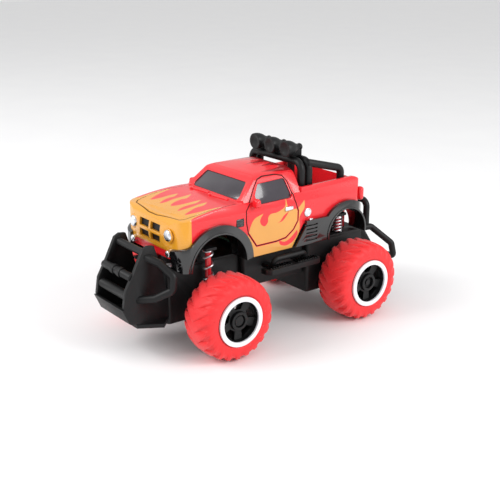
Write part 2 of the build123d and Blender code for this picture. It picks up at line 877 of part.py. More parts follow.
def tub_box(half_width, y_low, y_high, bottom_z, inset):
    """One box of the tub, or its hollow, as (half width, y, y, floor height)."""
    with BuildPart() as box:
        with BuildSketch(Plane.XY.offset(bottom_z + inset)) as base:
            with Locations((0, (y_low + y_high) / 2)):
                Rectangle(2 * (half_width - inset), y_high - y_low - 2 * inset)
            fillet(base.vertices(), 2.0 if not inset else 0.8)
        extrude(amount=deck_z - bottom_z - inset)
    return box.part


tub_boxes = (
    (nose_half_width, nose_front_y, nose_rear_y, nose_bottom_z),
    (waist_half_width, waist_front_y, box_front_y + 6.0, waist_bottom_z),
    (box_half_width, box_front_y, box_rear_y, box_bottom_z),
)
deck_screw_spots = [
    (side * x, y)
    for x, y in ((nose_half_width - 3.6, nose_front_y + 3.8), (box_half_width - 3.8, box_front_y + 3.8))
    for side in (-1, 1)
]


def chassis_tub():
    """Open-topped tub: steering nose, battery waist and gearbox, with suspension arms."""
    with BuildPart() as tub:
        for box in tub_boxes:
            add(tub_box(*box, 0))
        for base_z in (lower_arm_z, upper_arm_z):
            with BuildSketch(Plane.XY.offset(base_z)) as arms:
                with Locations((0, front_axle_y)):
                    Rectangle(2 * arm_reach_x, 2 * arm_half_length)
                fillet(arms.vertices(), 2.6)
            extrude(amount=arm_thickness)
        for x in (-box_half_width - 1.8, box_half_width - 1):
            add(round_bar((x, rear_axle_y, axle_z), (x + 2.8, rear_axle_y, axle_z), 3.4))
        sump_y = axle_centre[0]
        with BuildSketch(Plane.XY.offset(box_bottom_z - 2.2)):
            with Locations((axle_gear_x + axle_gear_width / 2, sump_y)):
                Rectangle(axle_gear_width + 3.2, 14.0)
        extrude(amount=3.0)
        for box in tub_boxes:
            add(tub_box(*box, tub_wall), mode=Mode.SUBTRACT)
        with BuildSketch(Plane.XY.offset(box_bottom_z - 1.2)):
            with Locations((axle_gear_x + axle_gear_width / 2, sump_y)):
                Rectangle(axle_gear_width + 1.2, 12.0)
        extrude(amount=3.0, mode=Mode.SUBTRACT)
        add(tub_ribs())
        add(tub_openings(), mode=Mode.SUBTRACT)
    return tub.part


def tub_ribs():
    """Bulkhead, steering motor shelf, motor saddle, gear cradle and screw posts."""
    floor_z = box_bottom_z + tub_wall
    inner_x = box_half_width - tub_wall
    saddle_z = motor_centre[1] - motor_width / 2
    with BuildPart() as ribs:
        with BuildSketch(Plane.XY.offset(floor_z)):
            with Locations((0, reduction_centre[0] - 10.2)):
                Rectangle(2 * inner_x, 1.2)
            for saddle_x in (motor_front_x - 3.0, motor_front_x - motor_length + 3.0):
                with Locations((saddle_x, motor_centre[0])):
                    Rectangle(1.4, motor_thickness - 1)
        extrude(amount=saddle_z - floor_z)
        with BuildSketch(Plane.XY.offset(rod_z + rod_height + 0.5)):
            with Locations((0, steer_pinion_y)):
                Rectangle(2 * (nose_half_width - tub_wall), 14.0)
                Circle(2.9, mode=Mode.SUBTRACT)
        extrude(amount=0.8)
        with BuildSketch(Plane.XY.offset(nose_bottom_z + tub_wall)):
            with Locations(*[spot for spot in deck_screw_spots if spot[1] < 0]):
                Circle(2.1)
        extrude(amount=deck_z - nose_bottom_z - tub_wall)
        with BuildSketch(Plane.XY.offset(floor_z)):
            with Locations(*[spot for spot in deck_screw_spots if spot[1] > 0]):
                Circle(2.1)
        extrude(amount=deck_z - floor_z)
    return ribs.part


def tub_openings():
    """Holes through the tub: axle, gear pin, tie rod, kingpins, switch, door and screws."""
    reach = box_half_width + 4
    kingpins = ((-kingpin_x, front_axle_y), (kingpin_x, front_axle_y))
    with BuildPart() as cuts:
        with BuildSketch(Plane.YZ.offset(-reach)):
            with Locations(axle_centre):
                Circle(axle_radius + running_gap)
            with Locations(reduction_centre):
                Circle(gear_pin_radius + screw_gap)
        extrude(amount=2 * reach)
        with BuildSketch(Plane.YZ.offset(-nose_half_width - 1)):
            with Locations((rod_y, rod_z + rod_height / 2)):
                Rectangle(rod_depth + 1.2, rod_height + 0.8)
        extrude(amount=2 * nose_half_width + 2)
        with BuildSketch(Plane.XY.offset(lower_arm_z + 0.4)):
            with Locations(*kingpins):
                Circle(kingpin_radius + running_gap)
        extrude(amount=upper_arm_z + arm_thickness - lower_arm_z)
        with BuildSketch(Plane.XY.offset(box_bottom_z - 1)):
            with Locations((switch_x, switch_y)):
                Rectangle(knob_length + 0.4, knob_length + switch_travel + 0.4)
        extrude(amount=tub_wall + 2)
        with BuildSketch(Plane.XY.offset(waist_bottom_z - 1)):
            with Locations((0, (door_front_y + door_rear_y) / 2)):
                Rectangle(2 * door_half_width, door_rear_y - door_front_y)
        extrude(amount=tub_wall + 2)
        with BuildSketch(Plane.XY.offset(deck_z - 8)):
            with Locations(*deck_screw_spots):
                Circle(screw_radius + screw_gap)
        extrude(amount=9)
    return cuts.part


tower_x = 11.4
ledge_reach_x = 22.6
front_spring_x = 19.4
rear_spring_x = 18.8
front_ledge_z = 52.4
rear_ledge_z = 54.6
ledge_thickness = 1.4
rear_tower_y = rear_axle_y + 0.6


def chassis_deck():
    """Lid of the tub, with the posts and ledges that hold the tops of the springs."""
    reach = 2 * (nose_half_width - part_gap)
    with BuildPart() as deck:
        with BuildSketch(Plane.XY.offset(deck_z)):
            with Locations((0, (nose_front_y + waist_front_y) / 2)):
                Rectangle(reach, waist_front_y - nose_front_y + 4)
            with Locations((0, (waist_front_y + box_front_y) / 2)):
                Rectangle(2 * waist_half_width, box_front_y - waist_front_y + 2)
            with Locations((0, (box_front_y + box_rear_y) / 2)):
                Rectangle(2 * box_half_width, box_rear_y - box_front_y)
        extrude(amount=deck_thickness)
        for tower_y, ledge_z in ((front_axle_y, front_ledge_z), (rear_tower_y, rear_ledge_z)):
            with BuildSketch(Plane.XY.offset(deck_z + deck_thickness / 2)):
                with Locations((-tower_x - 1.4, tower_y), (tower_x + 1.4, tower_y)):
                    Rectangle(2.8, 6.4)
            extrude(amount=ledge_z - deck_z)
            with BuildSketch(Plane.XY.offset(ledge_z)):
                for side in (-1, 1):
                    with Locations((side * (tower_x + ledge_reach_x) / 2, tower_y)):
                        Rectangle(ledge_reach_x - tower_x, 6.4)
            extrude(amount=ledge_thickness)
        with BuildSketch(Plane.XY.offset(deck_z - 1)):
            with Locations(*post_spots):
                Circle(screw_radius + screw_gap)
            with Locations(*deck_screw_spots):
                Circle(screw_radius + screw_gap)
        extrude(amount=deck_thickness + 2, mode=Mode.SUBTRACT)
        with BuildSketch(Plane.XY.offset(deck_top_z)):
            with Locations((0, waist_front_y + 21.0)):
                with GridLocations(board_width - 4, board_length - 4, 2, 2):
                    Circle(1.4)
        extrude(amount=board_lift)
    return deck.part


board_width = 26.0
board_length = 34.0
board_lift = 1.6
board_thickness = 1.2


def circuit_board():
    """Receiver board standing on four spacers over the battery waist."""
    top_z = deck_top_z + board_lift
    with BuildPart() as board:
        with BuildSketch(Plane.XY.offset(top_z)):
            with Locations((0, waist_front_y + 21.0)):
                Rectangle(board_width, board_length)
        extrude(amount=board_thickness)
        with BuildSketch(Plane.XY.offset(top_z + board_thickness)):
            with Locations((-5, waist_front_y + 14.0), (6, waist_front_y + 17.0)):
                Rectangle(7.0, 5.0)
            with Locations((4, waist_front_y + 30.0)):
                Rectangle(4.0, 9.0)
        extrude(amount=1.4)
    return board.part


def screws(groups):
    """Pan-head screws; each group is (spots, height under the head, shaft along Z)."""
    with BuildPart() as fasteners:
        for spots, head_z, shaft in groups:
            with BuildSketch(Plane.XY.offset(head_z)):
                with Locations(*spots):
                    Circle(screw_radius)
            extrude(amount=shaft)
            with BuildSketch(Plane.XY.offset(head_z)):
                with Locations(*spots):
                    Circle(1.9 * screw_radius)
            extrude(amount=-screw_head if shaft > 0 else screw_head)
    return fasteners.part


def battery_door():
    """Cover under the battery cells, with a finger rib and a screw hole."""
    with BuildPart() as door:
        with BuildSketch(Plane.XY.offset(waist_bottom_z)):
            with Locations((0, (door_front_y + door_rear_y) / 2)):
                Rectangle(2 * (door_half_width - door_gap), door_rear_y - door_front_y - 2 * door_gap)
        extrude(amount=tub_wall)
        with BuildSketch(Plane.XY.offset(waist_bottom_z - 0.5)):
            with Locations((0, door_front_y + 6)):
                with GridLocations(1, 1.6, 1, 5):
                    Rectangle(12.0, 0.7)
        extrude(amount=0.6)
        with BuildSketch(Plane.XY.offset(waist_bottom_z - 1)):
            with Locations((0, door_rear_y - 3.0)):
                Circle(screw_radius + screw_gap)
        extrude(amount=tub_wall + 2, mode=Mode.SUBTRACT)
    return door.part


cell_radius = 5.2
cell_length = 44.0
cell_gap = 0.3
cell_z = waist_bottom_z + tub_wall + cell_radius + 0.3
cell_front_y = waist_front_y + tub_wall + 1.6


def battery_cells():
    """Three slim cells side by side along the waist, alternate ends forward."""
    pitch = 2 * cell_radius + cell_gap
    with BuildPart() as cells:
        for index in (-1, 0, 1):
            nub_y = cell_front_y if index else cell_front_y + cell_length
            nub_dir = -0.8 if index else 0.8
            x = index * pitch
            add(round_bar((x, cell_front_y, cell_z), (x, cell_front_y + cell_length, cell_z), cell_radius))
            add(round_bar((x, nub_y, cell_z), (x, nub_y + nub_dir, cell_z), 1.9))
    return cells.part


def battery_contacts():
    """Sprung contact plates at both ends of the cells."""
    pitch = 2 * cell_radius + cell_gap
    with BuildPart() as contacts:
        for y in (cell_front_y - 1.2, cell_front_y + cell_length + 0.9):
            with BuildSketch(Plane.XZ.offset(-y - 0.3)):
                for index in (-1, 0, 1):
                    with Locations((index * pitch, cell_z)):
                        Rectangle(8.4, 8.4)
            extrude(amount=0.3)
    return contacts.part


# ---------------------------------------------------------------- gears and motors
def gear_teeth(teeth, first_angle):
    """Corner points of a spur gear whose first tooth points along first_angle degrees."""
    pitch_angle = 360 / teeth
    root = gear_module * (teeth / 2 - 1.2)
    pitch = gear_module * teeth / 2
    tip = gear_module * (teeth / 2 + 0.9)
    points = []
    for tooth in range(teeth):
        middle = first_angle + tooth * pitch_angle
        for radius, share in ((root, -0.28), (pitch, -0.2), (tip, -0.1)):
            points.append(polar((0, 0), radius, middle + share * pitch_angle))
        for radius, share in ((tip, 0.1), (pitch, 0.2), (root, 0.28)):
            points.append(polar((0, 0), radius, middle + share * pitch_angle))
    return points


def spur_gear(teeth, first_angle, centre, x_start, width, bore):
    """Spur gear on an axis parallel to X, bored through when bore is not zero."""
    with BuildPart() as gear:
        with BuildSketch(Plane(origin=(x_start, *centre), x_dir=(0, 1, 0), z_dir=(1, 0, 0))):
            Polygon(*gear_teeth(teeth, first_angle), align=None)
            if bore:
                Circle(bore, mode=Mode.SUBTRACT)
        extrude(amount=width)
    return gear.part


def reduction_gear():
    """Large and small gear in one moulding, turning on the gear pin."""
    bore = gear_pin_radius + running_gap
    small_angle = axle_mesh_angle + 180 + 180 / small_teeth
    with BuildPart() as compound:
        add(
            spur_gear(
                large_teeth,
                motor_mesh_angle,
                reduction_centre,
                large_gear_x,
                large_gear_width,
                bore,
            )
        )
        add(
            spur_gear(
                small_teeth,
                small_angle,
                reduction_centre,
                axle_gear_x - 0.3,
                large_gear_x - axle_gear_x + 0.3,
                bore,
            )
        )
    return compound.part


def motor_pinion():
    """Drive pinion with the motor shaft it is pressed on."""
    first_angle = motor_mesh_angle + 180 + 180 / motor_teeth
    with BuildPart() as pinion:
        add(spur_gear(motor_teeth, first_angle, motor_centre, large_gear_x - 0.5, large_gear_width + 1, 0))
        start = (motor_front_x - 3.0, *motor_centre)
        add(round_bar(start, (large_gear_x, *motor_centre), motor_shaft_radius))
    return pinion.part


def flat_can_motor(axis, shaft_bore):
    """Small flat-sided motor; the plane's normal is its shaft, its origin the shaft end."""
    with BuildPart() as motor:
        with BuildSketch(axis):
            Circle(motor_width / 2)
            Rectangle(motor_thickness, motor_width + 1, mode=Mode.INTERSECT)
        extrude(amount=-motor_length)
        with BuildSketch(axis):
            Circle(2.6)
        extrude(amount=0.6)
        with BuildSketch(axis.offset(0.7)):
            Circle(shaft_bore)
        extrude(amount=-4.0, mode=Mode.SUBTRACT)
    return motor.part


def drive_motor():
    """Drive motor lying across the gearbox."""
    face = Plane(origin=(motor_front_x - 0.7, *motor_centre), x_dir=(0, 1, 0), z_dir=(1, 0, 0))
    return flat_can_motor(face, motor_shaft_radius + running_gap)


steer_motor_face_z = rod_z + rod_height + 0.5 + 0.8
steer_motor_length = 14.8


def steering_motor():
    """Steering motor standing on its shelf, shaft down."""
    with BuildPart() as motor:
        with BuildSketch(Plane.XY.offset(steer_motor_face_z)):
            with Locations((0, steer_pinion_y)):
                Circle(motor_width / 2)
                Rectangle(motor_width + 1, motor_thickness, mode=Mode.INTERSECT)
        extrude(amount=steer_motor_length)
        with BuildSketch(Plane.XY.offset(steer_motor_face_z - 0.1)):
            with Locations((0, steer_pinion_y)):
                Circle(motor_shaft_radius + running_gap)
        extrude(amount=4.1, mode=Mode.SUBTRACT)
    return motor.part


def steering_pinion():
    """Pinion that drives the rack on the tie rod, with its shaft."""
    teeth = gear_teeth(steer_teeth, -90 + 180 / steer_teeth)
    with BuildPart() as pinion:
        with BuildSketch(Plane(origin=(0, steer_pinion_y, rod_z), x_dir=(1, 0, 0), z_dir=(0, 0, 1))):
            Polygon(*teeth, align=None)
        extrude(amount=rod_height)
        with BuildSketch(Plane.XY.offset(rod_z + rod_height)):
            with Locations((0, steer_pinion_y)):
                Circle(motor_shaft_radius)
        extrude(amount=steer_motor_face_z + 3.5 - rod_z - rod_height)
    return pinion.part


def tie_rod():
    """Rod joining both steering arms, with a toothed rack in the middle."""
    pin_slot = 2 * (1.0 + 0.08)
    pitch = pi * gear_module
    with BuildPart() as rod:
        with BuildSketch(Plane.XY.offset(rod_z)):
            with Locations((0, rod_y)):
                Rectangle(2 * kingpin_x - 3.0, rod_depth)
            with Locations((-kingpin_x, rod_y - 0.1), (kingpin_x, rod_y - 0.1)):
                Rectangle(4.4, 5.2)
                SlotOverall(pin_slot + 0.7, pin_slot, rotation=90, mode=Mode.SUBTRACT)
            for tooth in range(-4, 5):
                root_y = rod_y + rod_depth / 2 - 0.05
                middle = tooth * pitch
                Polygon(
                    (middle - 0.24 * pitch, root_y),
                    (middle - 0.16 * pitch, rack_pitch_y),
                    (middle - 0.08 * pitch, rack_pitch_y + 0.35),
                    (middle + 0.08 * pitch, rack_pitch_y + 0.35),
                    (middle + 0.16 * pitch, rack_pitch_y),
                    (middle + 0.24 * pitch, root_y),
                    align=None,
                )
        extrude(amount=rod_height)
    return rod.part


# ---------------------------------------------------------------- wheels and suspension
def knuckle():
    """Steering knuckle: upright with kingpins, stub axle bore and steering arm."""
    low_z = lower_arm_z + arm_thickness + 0.1
    high_z = upper_arm_z - 0.1
    arm_top_z = rod_z - 0.1
    with BuildPart() as upright:
        with BuildSketch(Plane.XY.offset(low_z)):
            with Locations((kingpin_x, front_axle_y)):
                Circle(knuckle_radius)
        extrude(amount=high_z - low_z)
        with BuildSketch(Plane.XY.offset(lower_arm_z + 0.6)):
            with Locations((kingpin_x, front_axle_y)):
                Circle(kingpin_radius)
        extrude(amount=upper_arm_z + arm_thickness - 0.3 - lower_arm_z - 0.6)
        with BuildSketch(Plane.XY.offset(arm_top_z - 2.0)):
            with Locations((kingpin_x, front_axle_y + steer_arm / 2)):
                Rectangle(2.6, steer_arm + 2.4)
        extrude(amount=2.0)
        with BuildSketch(Plane.XY.offset(arm_top_z - 1.0)):
            with Locations((kingpin_x, rod_y)):
                Circle(1.0)
        extrude(amount=rod_height + 1.3)
        with BuildSketch(Plane.YZ.offset(kingpin_x)):
            with Locations((front_axle_y, axle_z)):
                Circle(axle_radius)
        extrude(amount=5, mode=Mode.SUBTRACT)
    return upright.part


hub_bore_end_x = wheel_face_x - 3.6
hub_radius = 4.7


def stub_axle():
    """Front wheel pin, pressed into the knuckle, with a head that keeps the wheel on."""
    end_x = hub_bore_end_x + 0.12
    with BuildPart() as stub:
        add(round_bar((kingpin_x, front_axle_y, axle_z), (end_x, front_axle_y, axle_z), axle_radius))
        add(round_bar((end_x, front_axle_y, axle_z), (end_x + 1.3, front_axle_y, axle_z), 2.5))
    return stub.part


def rear_axle():
    """Steel shaft through both rear wheels."""
    with BuildPart() as shaft:
        reach = hub_bore_end_x + 1.2
        add(round_bar((-reach, rear_axle_y, axle_z), (reach, rear_axle_y, axle_z), axle_radius))
    return shaft.part


rim_inner_x = wheel_face_x - 20.6
barrel_radius = tyre_radius - 9.0
ring_inner_radius = 10.6
ring_thickness = 1.2
web_x = wheel_face_x - 5.4
web_thickness = 2.0


def rim(axle_y, bore):
    """Moulded wheel: barrel, five-spoke web, raised hub and an outer seat for the ring."""
    seat_x = wheel_face_x - ring_thickness
    with BuildPart() as wheel:
        with BuildSketch(Plane(origin=(0, axle_y, axle_z), x_dir=(1, 0, 0), z_dir=(0, -1, 0))):
            with BuildLine():
                Polyline(
                    (rim_inner_x, bore),
                    (rim_inner_x, 3.6),
                    (web_x, 3.6),
                    (web_x, barrel_radius - 1.4),
                    (rim_inner_x, barrel_radius - 1.4),
                    (rim_inner_x, barrel_radius),
                    (seat_x, barrel_radius),
                    (seat_x, ring_inner_radius),
                    (web_x + web_thickness, ring_inner_radius - 0.5),
                    (web_x + web_thickness, hub_radius + 0.3),
                    (hub_bore_end_x + 1.9, hub_radius),
                    (hub_bore_end_x + 1.9, 3.3),
                    (hub_bore_end_x, 3.3),
                    (hub_bore_end_x, bore),
                    (rim_inner_x, bore),
                )
            make_face()
        revolve(axis=Axis((0, axle_y, axle_z), (1, 0, 0)))
        with BuildSketch(Plane(origin=(web_x - 1, axle_y, axle_z), x_dir=(0, 1, 0), z_dir=(1, 0, 0))):
            with PolarLocations(0, 5, start_angle=90):
                Polygon((5.7, -1.7), (5.7, 1.7), (9.7, 4.0), (9.7, -4.0), align=None)
        extrude(amount=web_thickness + 3, mode=Mode.SUBTRACT)
    return wheel.part


def tyre(axle_y):
    """Balloon tyre as a plain revolved section, fitted to the barrel."""
    outer_x = wheel_face_x - 0.3
    inner_x = outer_x - tyre_width
    with BuildPart() as ring:
        with BuildSketch(Plane(origin=(0, axle_y, axle_z), x_dir=(1, 0, 0), z_dir=(0, -1, 0))):
            with BuildLine():
                Line((inner_x + 1.4, barrel_radius), (inner_x, tyre_radius - 6.0))
                ThreePointArc(
                    (inner_x, tyre_radius - 6.0),
                    (inner_x + 0.6, tyre_radius - 2.4),
                    (inner_x + 3.6, tyre_radius - 0.6),
                )
                ThreePointArc(
                    (inner_x + 3.6, tyre_radius - 0.6),
                    ((inner_x + outer_x) / 2, tyre_radius),
                    (outer_x - 3.6, tyre_radius - 0.6),
                )
                ThreePointArc(
                    (outer_x - 3.6, tyre_radius - 0.6),
                    (outer_x - 0.6, tyre_radius - 2.6),
                    (outer_x, tyre_radius - 6.0),
                )
                Line((outer_x, tyre_radius - 6.0), (outer_x - 0.5, barrel_radius + 0.6))
                Line((outer_x - 0.5, barrel_radius + 0.6), (outer_x - 1.4, barrel_radius))
                Line((outer_x - 1.4, barrel_radius), (inner_x + 1.4, barrel_radius))
            make_face()
        revolve(axis=Axis((0, axle_y, axle_z), (1, 0, 0)))
    return ring.part


def wheel_ring(axle_y):
    """Flat trim ring on the face of the wheel."""
    with BuildPart() as ring:
        with BuildSketch(Plane.YZ.offset(wheel_face_x - ring_thickness)):
            with Locations((axle_y, axle_z)):
                Circle(barrel_radius)
                Circle(ring_inner_radius, mode=Mode.SUBTRACT)
        extrude(amount=ring_thickness)
    return ring.part


spring_radius = 3.0
spring_wire = 0.8
damper_radius = 1.5


def spring(x, y, low_z, high_z):
    """Coil spring as the sleeve it fills."""
    with BuildPart() as sleeve:
        with BuildSketch(Plane.XY.offset(low_z)):
            with Locations((x, y)):
                Circle(spring_radius)
                Circle(spring_radius - spring_wire, mode=Mode.SUBTRACT)
        extrude(amount=high_z - low_z)
    return sleeve.part


def damper(x, y, low_z, high_z):
    """Damper rod up the middle of a spring, with a wider body at the top."""
    with BuildPart() as rod:
        with BuildSketch(Plane.XY.offset(low_z)):
            with Locations((x, y)):
                Circle(damper_radius)
        extrude(amount=high_z - low_z)
    return rod.part


def switch_body():
    """Slide switch on the floor of the gearbox."""
    with BuildPart() as body:
        with BuildSketch(Plane.XY.offset(box_bottom_z + tub_wall)):
            with Locations((switch_x, switch_y)):
                Rectangle(8.0, 6.8)
                Rectangle(knob_length + 0.3, knob_length + switch_travel + 0.3, mode=Mode.SUBTRACT)
        extrude(amount=2.0)
        with BuildSketch(Plane.XY.offset(box_bottom_z + tub_wall + 2.0)):
            with Locations((switch_x, switch_y)):
                Rectangle(8.0, 6.8)
        extrude(amount=2.4)
    return body.part


def switch_knob():
    """Slider of the power switch, level with the belly; it rests in the off position."""
    with BuildPart() as knob:
        with BuildSketch(Plane.XY.offset(box_bottom_z + 0.1)):
            with Locations((switch_x, switch_y - switch_travel / 2)):
                Rectangle(knob_length, knob_length)
        extrude(amount=tub_wall + 1.6)
        with BuildSketch(Plane.XY.offset(box_bottom_z)):
            with Locations((switch_x, switch_y - switch_travel / 2)):
                Rectangle(knob_length, 0.6)
        extrude(amount=0.2)
    return knob.part


# ---------------------------------------------------------------- write every node
save(body_shell(), "body_shell")
save(window_glass(), "window_glass")
save(grille_insert(), "grille_insert")
save(lamp_pair(headlight_x, headlight_z, headlight_radius, nose_y - 0.4, 4.6, 1.4), "headlight_lenses")
save(lamp_pair(fog_x, fog_z, fog_radius, nose_y - 0.6, 5.0, 0.7), "fog_lamps")
save_both_sides(flare_front(), "flare_front")
save_both_sides(flare_rear(), "flare_rear")
save_both_sides(mirror_left(), "door_mirror")
save(roll_bar(), "roll_bar")
save(spot_lamps(), "spot_lamps")
save(bull_bar(), "bull_bar")
save(rear_bumper(), "rear_bumper")
save_both_sides(side_step(), "side_step")
save(chassis_tub(), "chassis_tub")
save(chassis_deck(), "chassis_deck")
chassis_screw_groups = [
    (deck_screw_spots, deck_top_z, -screw_length),
    (post_spots, deck_z, screw_length),
]
save(screws(chassis_screw_groups), "chassis_screws")
save(circuit_board(), "circuit_board")
save(battery_door(), "battery_door")
save(screws([([(0, door_rear_y - 3.0)], waist_bottom_z, tub_wall - 0.1)]), "battery_door_screw")
save(battery_cells(), "battery_cells")
save(battery_contacts(), "battery_contacts")
save(switch_body(), "power_switch_body")
save(switch_knob(), "power_switch_knob")
save(drive_motor(), "drive_motor")
save(motor_pinion(), "motor_pinion")
save(reduction_gear(), "reduction_gear")
pin_end_x = box_half_width - 0.2
gear_pin = round_bar((-pin_end_x, *reduction_centre), (pin_end_x, *reduction_centre), gear_pin_radius)
save(gear_pin, "gear_pin")
save(rear_axle(), "rear_axle")
save(
    spur_gear(axle_teeth, axle_mesh_angle, axle_centre, axle_gear_x, axle_gear_width, axle_radius),
    "axle_gear",
)
save(steering_motor(), "steering_motor")
save(steering_pinion(), "steering_pinion")
save(tie_rod(), "tie_rod")
save_both_sides(knuckle(), "knuckle")
save_both_sides(stub_axle(), "stub_axle")
wheel_places = (
    ("front", front_axle_y, axle_radius + running_gap),
    ("rear", rear_axle_y, axle_radius),
)
for place, axle_y, bore in wheel_places:
    save_both_sides(rim(axle_y, bore), f"rim_{place}")
    save_both_sides(tyre(axle_y), f"tyre_{place}")
    save_both_sides(wheel_ring(axle_y), f"wheel_ring_{place}")
spring_places = (
    ("front", front_spring_x, front_axle_y, upper_arm_z + arm_thickness, front_ledge_z),
    ("rear", rear_spring_x, rear_tower_y, deck_top_z, rear_ledge_z),
)
for place, x, y, low_z, high_z in spring_places:
    save_both_sides(spring(x, y, low_z, high_z), f"spring_{place}")
    save_both_sides(damper(x, y, low_z, high_z), f"damper_{place}")
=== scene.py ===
"""Small radio-controlled monster pickup: looks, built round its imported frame. Metres, +Z up, front -Y."""

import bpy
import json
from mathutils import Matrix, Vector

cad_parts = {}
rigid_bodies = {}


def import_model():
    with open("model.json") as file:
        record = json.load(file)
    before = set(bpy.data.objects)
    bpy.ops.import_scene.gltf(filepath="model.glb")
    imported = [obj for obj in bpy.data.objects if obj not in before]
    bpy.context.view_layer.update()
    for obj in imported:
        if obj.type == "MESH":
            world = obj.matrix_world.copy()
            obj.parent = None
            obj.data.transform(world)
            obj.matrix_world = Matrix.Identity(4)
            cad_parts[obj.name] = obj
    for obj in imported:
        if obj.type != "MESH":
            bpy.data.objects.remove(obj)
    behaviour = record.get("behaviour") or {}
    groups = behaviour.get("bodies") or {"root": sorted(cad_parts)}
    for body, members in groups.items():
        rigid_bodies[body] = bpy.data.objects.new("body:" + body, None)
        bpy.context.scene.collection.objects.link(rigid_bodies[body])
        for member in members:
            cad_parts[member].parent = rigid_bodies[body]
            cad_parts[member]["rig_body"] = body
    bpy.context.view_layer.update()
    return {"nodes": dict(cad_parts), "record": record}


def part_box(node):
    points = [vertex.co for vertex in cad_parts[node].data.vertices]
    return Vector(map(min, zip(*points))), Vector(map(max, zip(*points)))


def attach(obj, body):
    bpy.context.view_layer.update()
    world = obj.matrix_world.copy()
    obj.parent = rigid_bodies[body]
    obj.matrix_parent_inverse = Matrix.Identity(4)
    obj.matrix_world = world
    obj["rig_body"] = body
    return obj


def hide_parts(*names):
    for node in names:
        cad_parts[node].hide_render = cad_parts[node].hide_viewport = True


bl_info = {
    "name": "Radio-controlled pickup",
    "version": (1, 0, 0),
    "blender": (4, 5, 0),
    "location": "3D View > Sidebar > Pickup",
    "description": "Builds the visible pieces of a small radio-controlled pickup round its frame",
    "category": "Object",
}

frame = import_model()

import json
import math

import bpy
from mathutils import Matrix, Vector
from mathutils.bvhtree import BVHTree

MM = 0.001
MERGE_DISTANCE = 0.000002
FLAT_DEGREES = 0.6
BEVEL_DEGREES = 34.0
SMOOTH_DEGREES = 32.0
HUES = dict(subtype="COLOR", size=3, min=0.0, max=1.0)


# ------------------------------------------------------------------ settings
class PickupPaint(bpy.types.PropertyGroup):
    red: bpy.props.FloatVectorProperty(
        name="Body red", description="Colour of the moulded body", default=(0.80, 0.014, 0.022), **HUES
    )
    flame: bpy.props.FloatVectorProperty(
        name="Flame", description="Colour of the printed flames", default=(0.74, 0.35, 0.075), **HUES
    )
    nose: bpy.props.FloatVectorProperty(
        name="Nose", description="Colour of the painted nose", default=(0.76, 0.33, 0.018), **HUES
    )
    tyre: bpy.props.FloatVectorProperty(
        name="Tyre", description="Colour of the soft tyres", default=(0.80, 0.016, 0.02), **HUES
    )


class PickupShape(bpy.types.PropertyGroup):
    lug_count: bpy.props.IntProperty(
        name="Tyre lugs", description="Chevron lugs round each tyre", default=22, min=8, max=40
    )
    lug_height: bpy.props.FloatProperty(
        name="Lug height", description="Depth of the tread", default=0.0013, unit="LENGTH"
    )
    groove: bpy.props.FloatProperty(
        name="Shut line",
        description="Half width of the lines round doors and hood",
        default=0.00036,
        unit="LENGTH",
    )
    front_turns: bpy.props.FloatProperty(
        name="Front coils", description="Turns in each front spring", default=5.0, min=2
    )
    rear_turns: bpy.props.FloatProperty(
        name="Rear coils", description="Turns in each rear spring", default=6.0, min=2
    )


# ------------------------------------------------------------------ shader maths
class Sum:
    """A shader socket that takes part in Python expressions."""

    def __init__(self, graph, socket):
        self.graph = graph
        self.socket = socket

    def _math(self, operation, first, second):
        return self.graph.node("ShaderNodeMath", {"operation": operation}, {0: first, 1: second})

    def __add__(self, other):
        return self._math("ADD", self, other)

    def __radd__(self, other):
        return self._math("ADD", other, self)

    def __sub__(self, other):
        return self._math("SUBTRACT", self, other)

    def __rsub__(self, other):
        return self._math("SUBTRACT", other, self)

    def __mul__(self, other):
        return self._math("MULTIPLY", self, other)

    def __rmul__(self, other):
        return self._math("MULTIPLY", other, self)

    def __truediv__(self, other):
        return self._math("DIVIDE", self, other)

    def step(self, low, high):
        """0 below low, 1 above high, straight between."""
        return self.graph.node(
            "ShaderNodeMapRange", {"clamp": True}, {"Value": self, "From Min": low, "From Max": high}
        )


class Graph:
    """The nodes of one material, ending in a Principled BSDF."""

    def __init__(self, name, **constants):
        self.material = bpy.data.materials.new(name)
        self.material.use_nodes = True
        self.tree = self.material.node_tree
        self.shader = self.tree.nodes["Principled BSDF"]
        for socket, value in constants.items():
            self.shader.inputs[socket.replace("_", " ").title().replace("Ior", "IOR")].default_value = value
        self.place = self.node("ShaderNodeTexCoord", {}, {}, "Object")

    def node(self, kind, settings, sockets, output=0):
        """Adds a node, with its settings first and then its sockets' values or links."""
        made = self.tree.nodes.new(kind)
        for key, value in settings.items():
            setattr(made, key, value)
        for key, value in sockets.items():
            if isinstance(value, Sum):
                self.tree.links.new(value.socket, made.inputs[key])
            else:
                made.inputs[key].default_value = value
        return Sum(self, made.outputs[output])

    def noise(self, size_mm, detail=2.0, rough=0.5):
        """Cloudy pattern whose blobs are about size_mm across."""
        return self.node(
            "ShaderNodeTexNoise",
            {},
            {"Vector": self.place, "Scale": 1.0 / (size_mm * MM), "Detail": detail, "Roughness": rough},
            "Fac",
        )

    def blend(self, factor, first, second):
        """Colour between first and second."""
        mix = self.tree.nodes.new("ShaderNodeMix")
        mix.data_type = "RGBA"
        for index, value in ((0, factor), (6, first), (7, second)):
            if isinstance(value, Sum):
                self.tree.links.new(value.socket, mix.inputs[index])
            else:
                mix.inputs[index].default_value = (*value, 1.0) if index else value
        return Sum(self, mix.outputs[2])

    def feed(self, **sockets):
        """Links varying values into the shader."""
        for name, value in sockets.items():
            self.tree.links.new(value.socket, self.shader.inputs[name.replace("_", " ").title()])

    def relief(self, height, depth_mm):
        """Bump from a height of 0 to 1 over depth_mm."""
        return self.node(
            "ShaderNodeBump", {}, {"Height": height, "Strength": 1.0, "Distance": depth_mm * MM}
        )


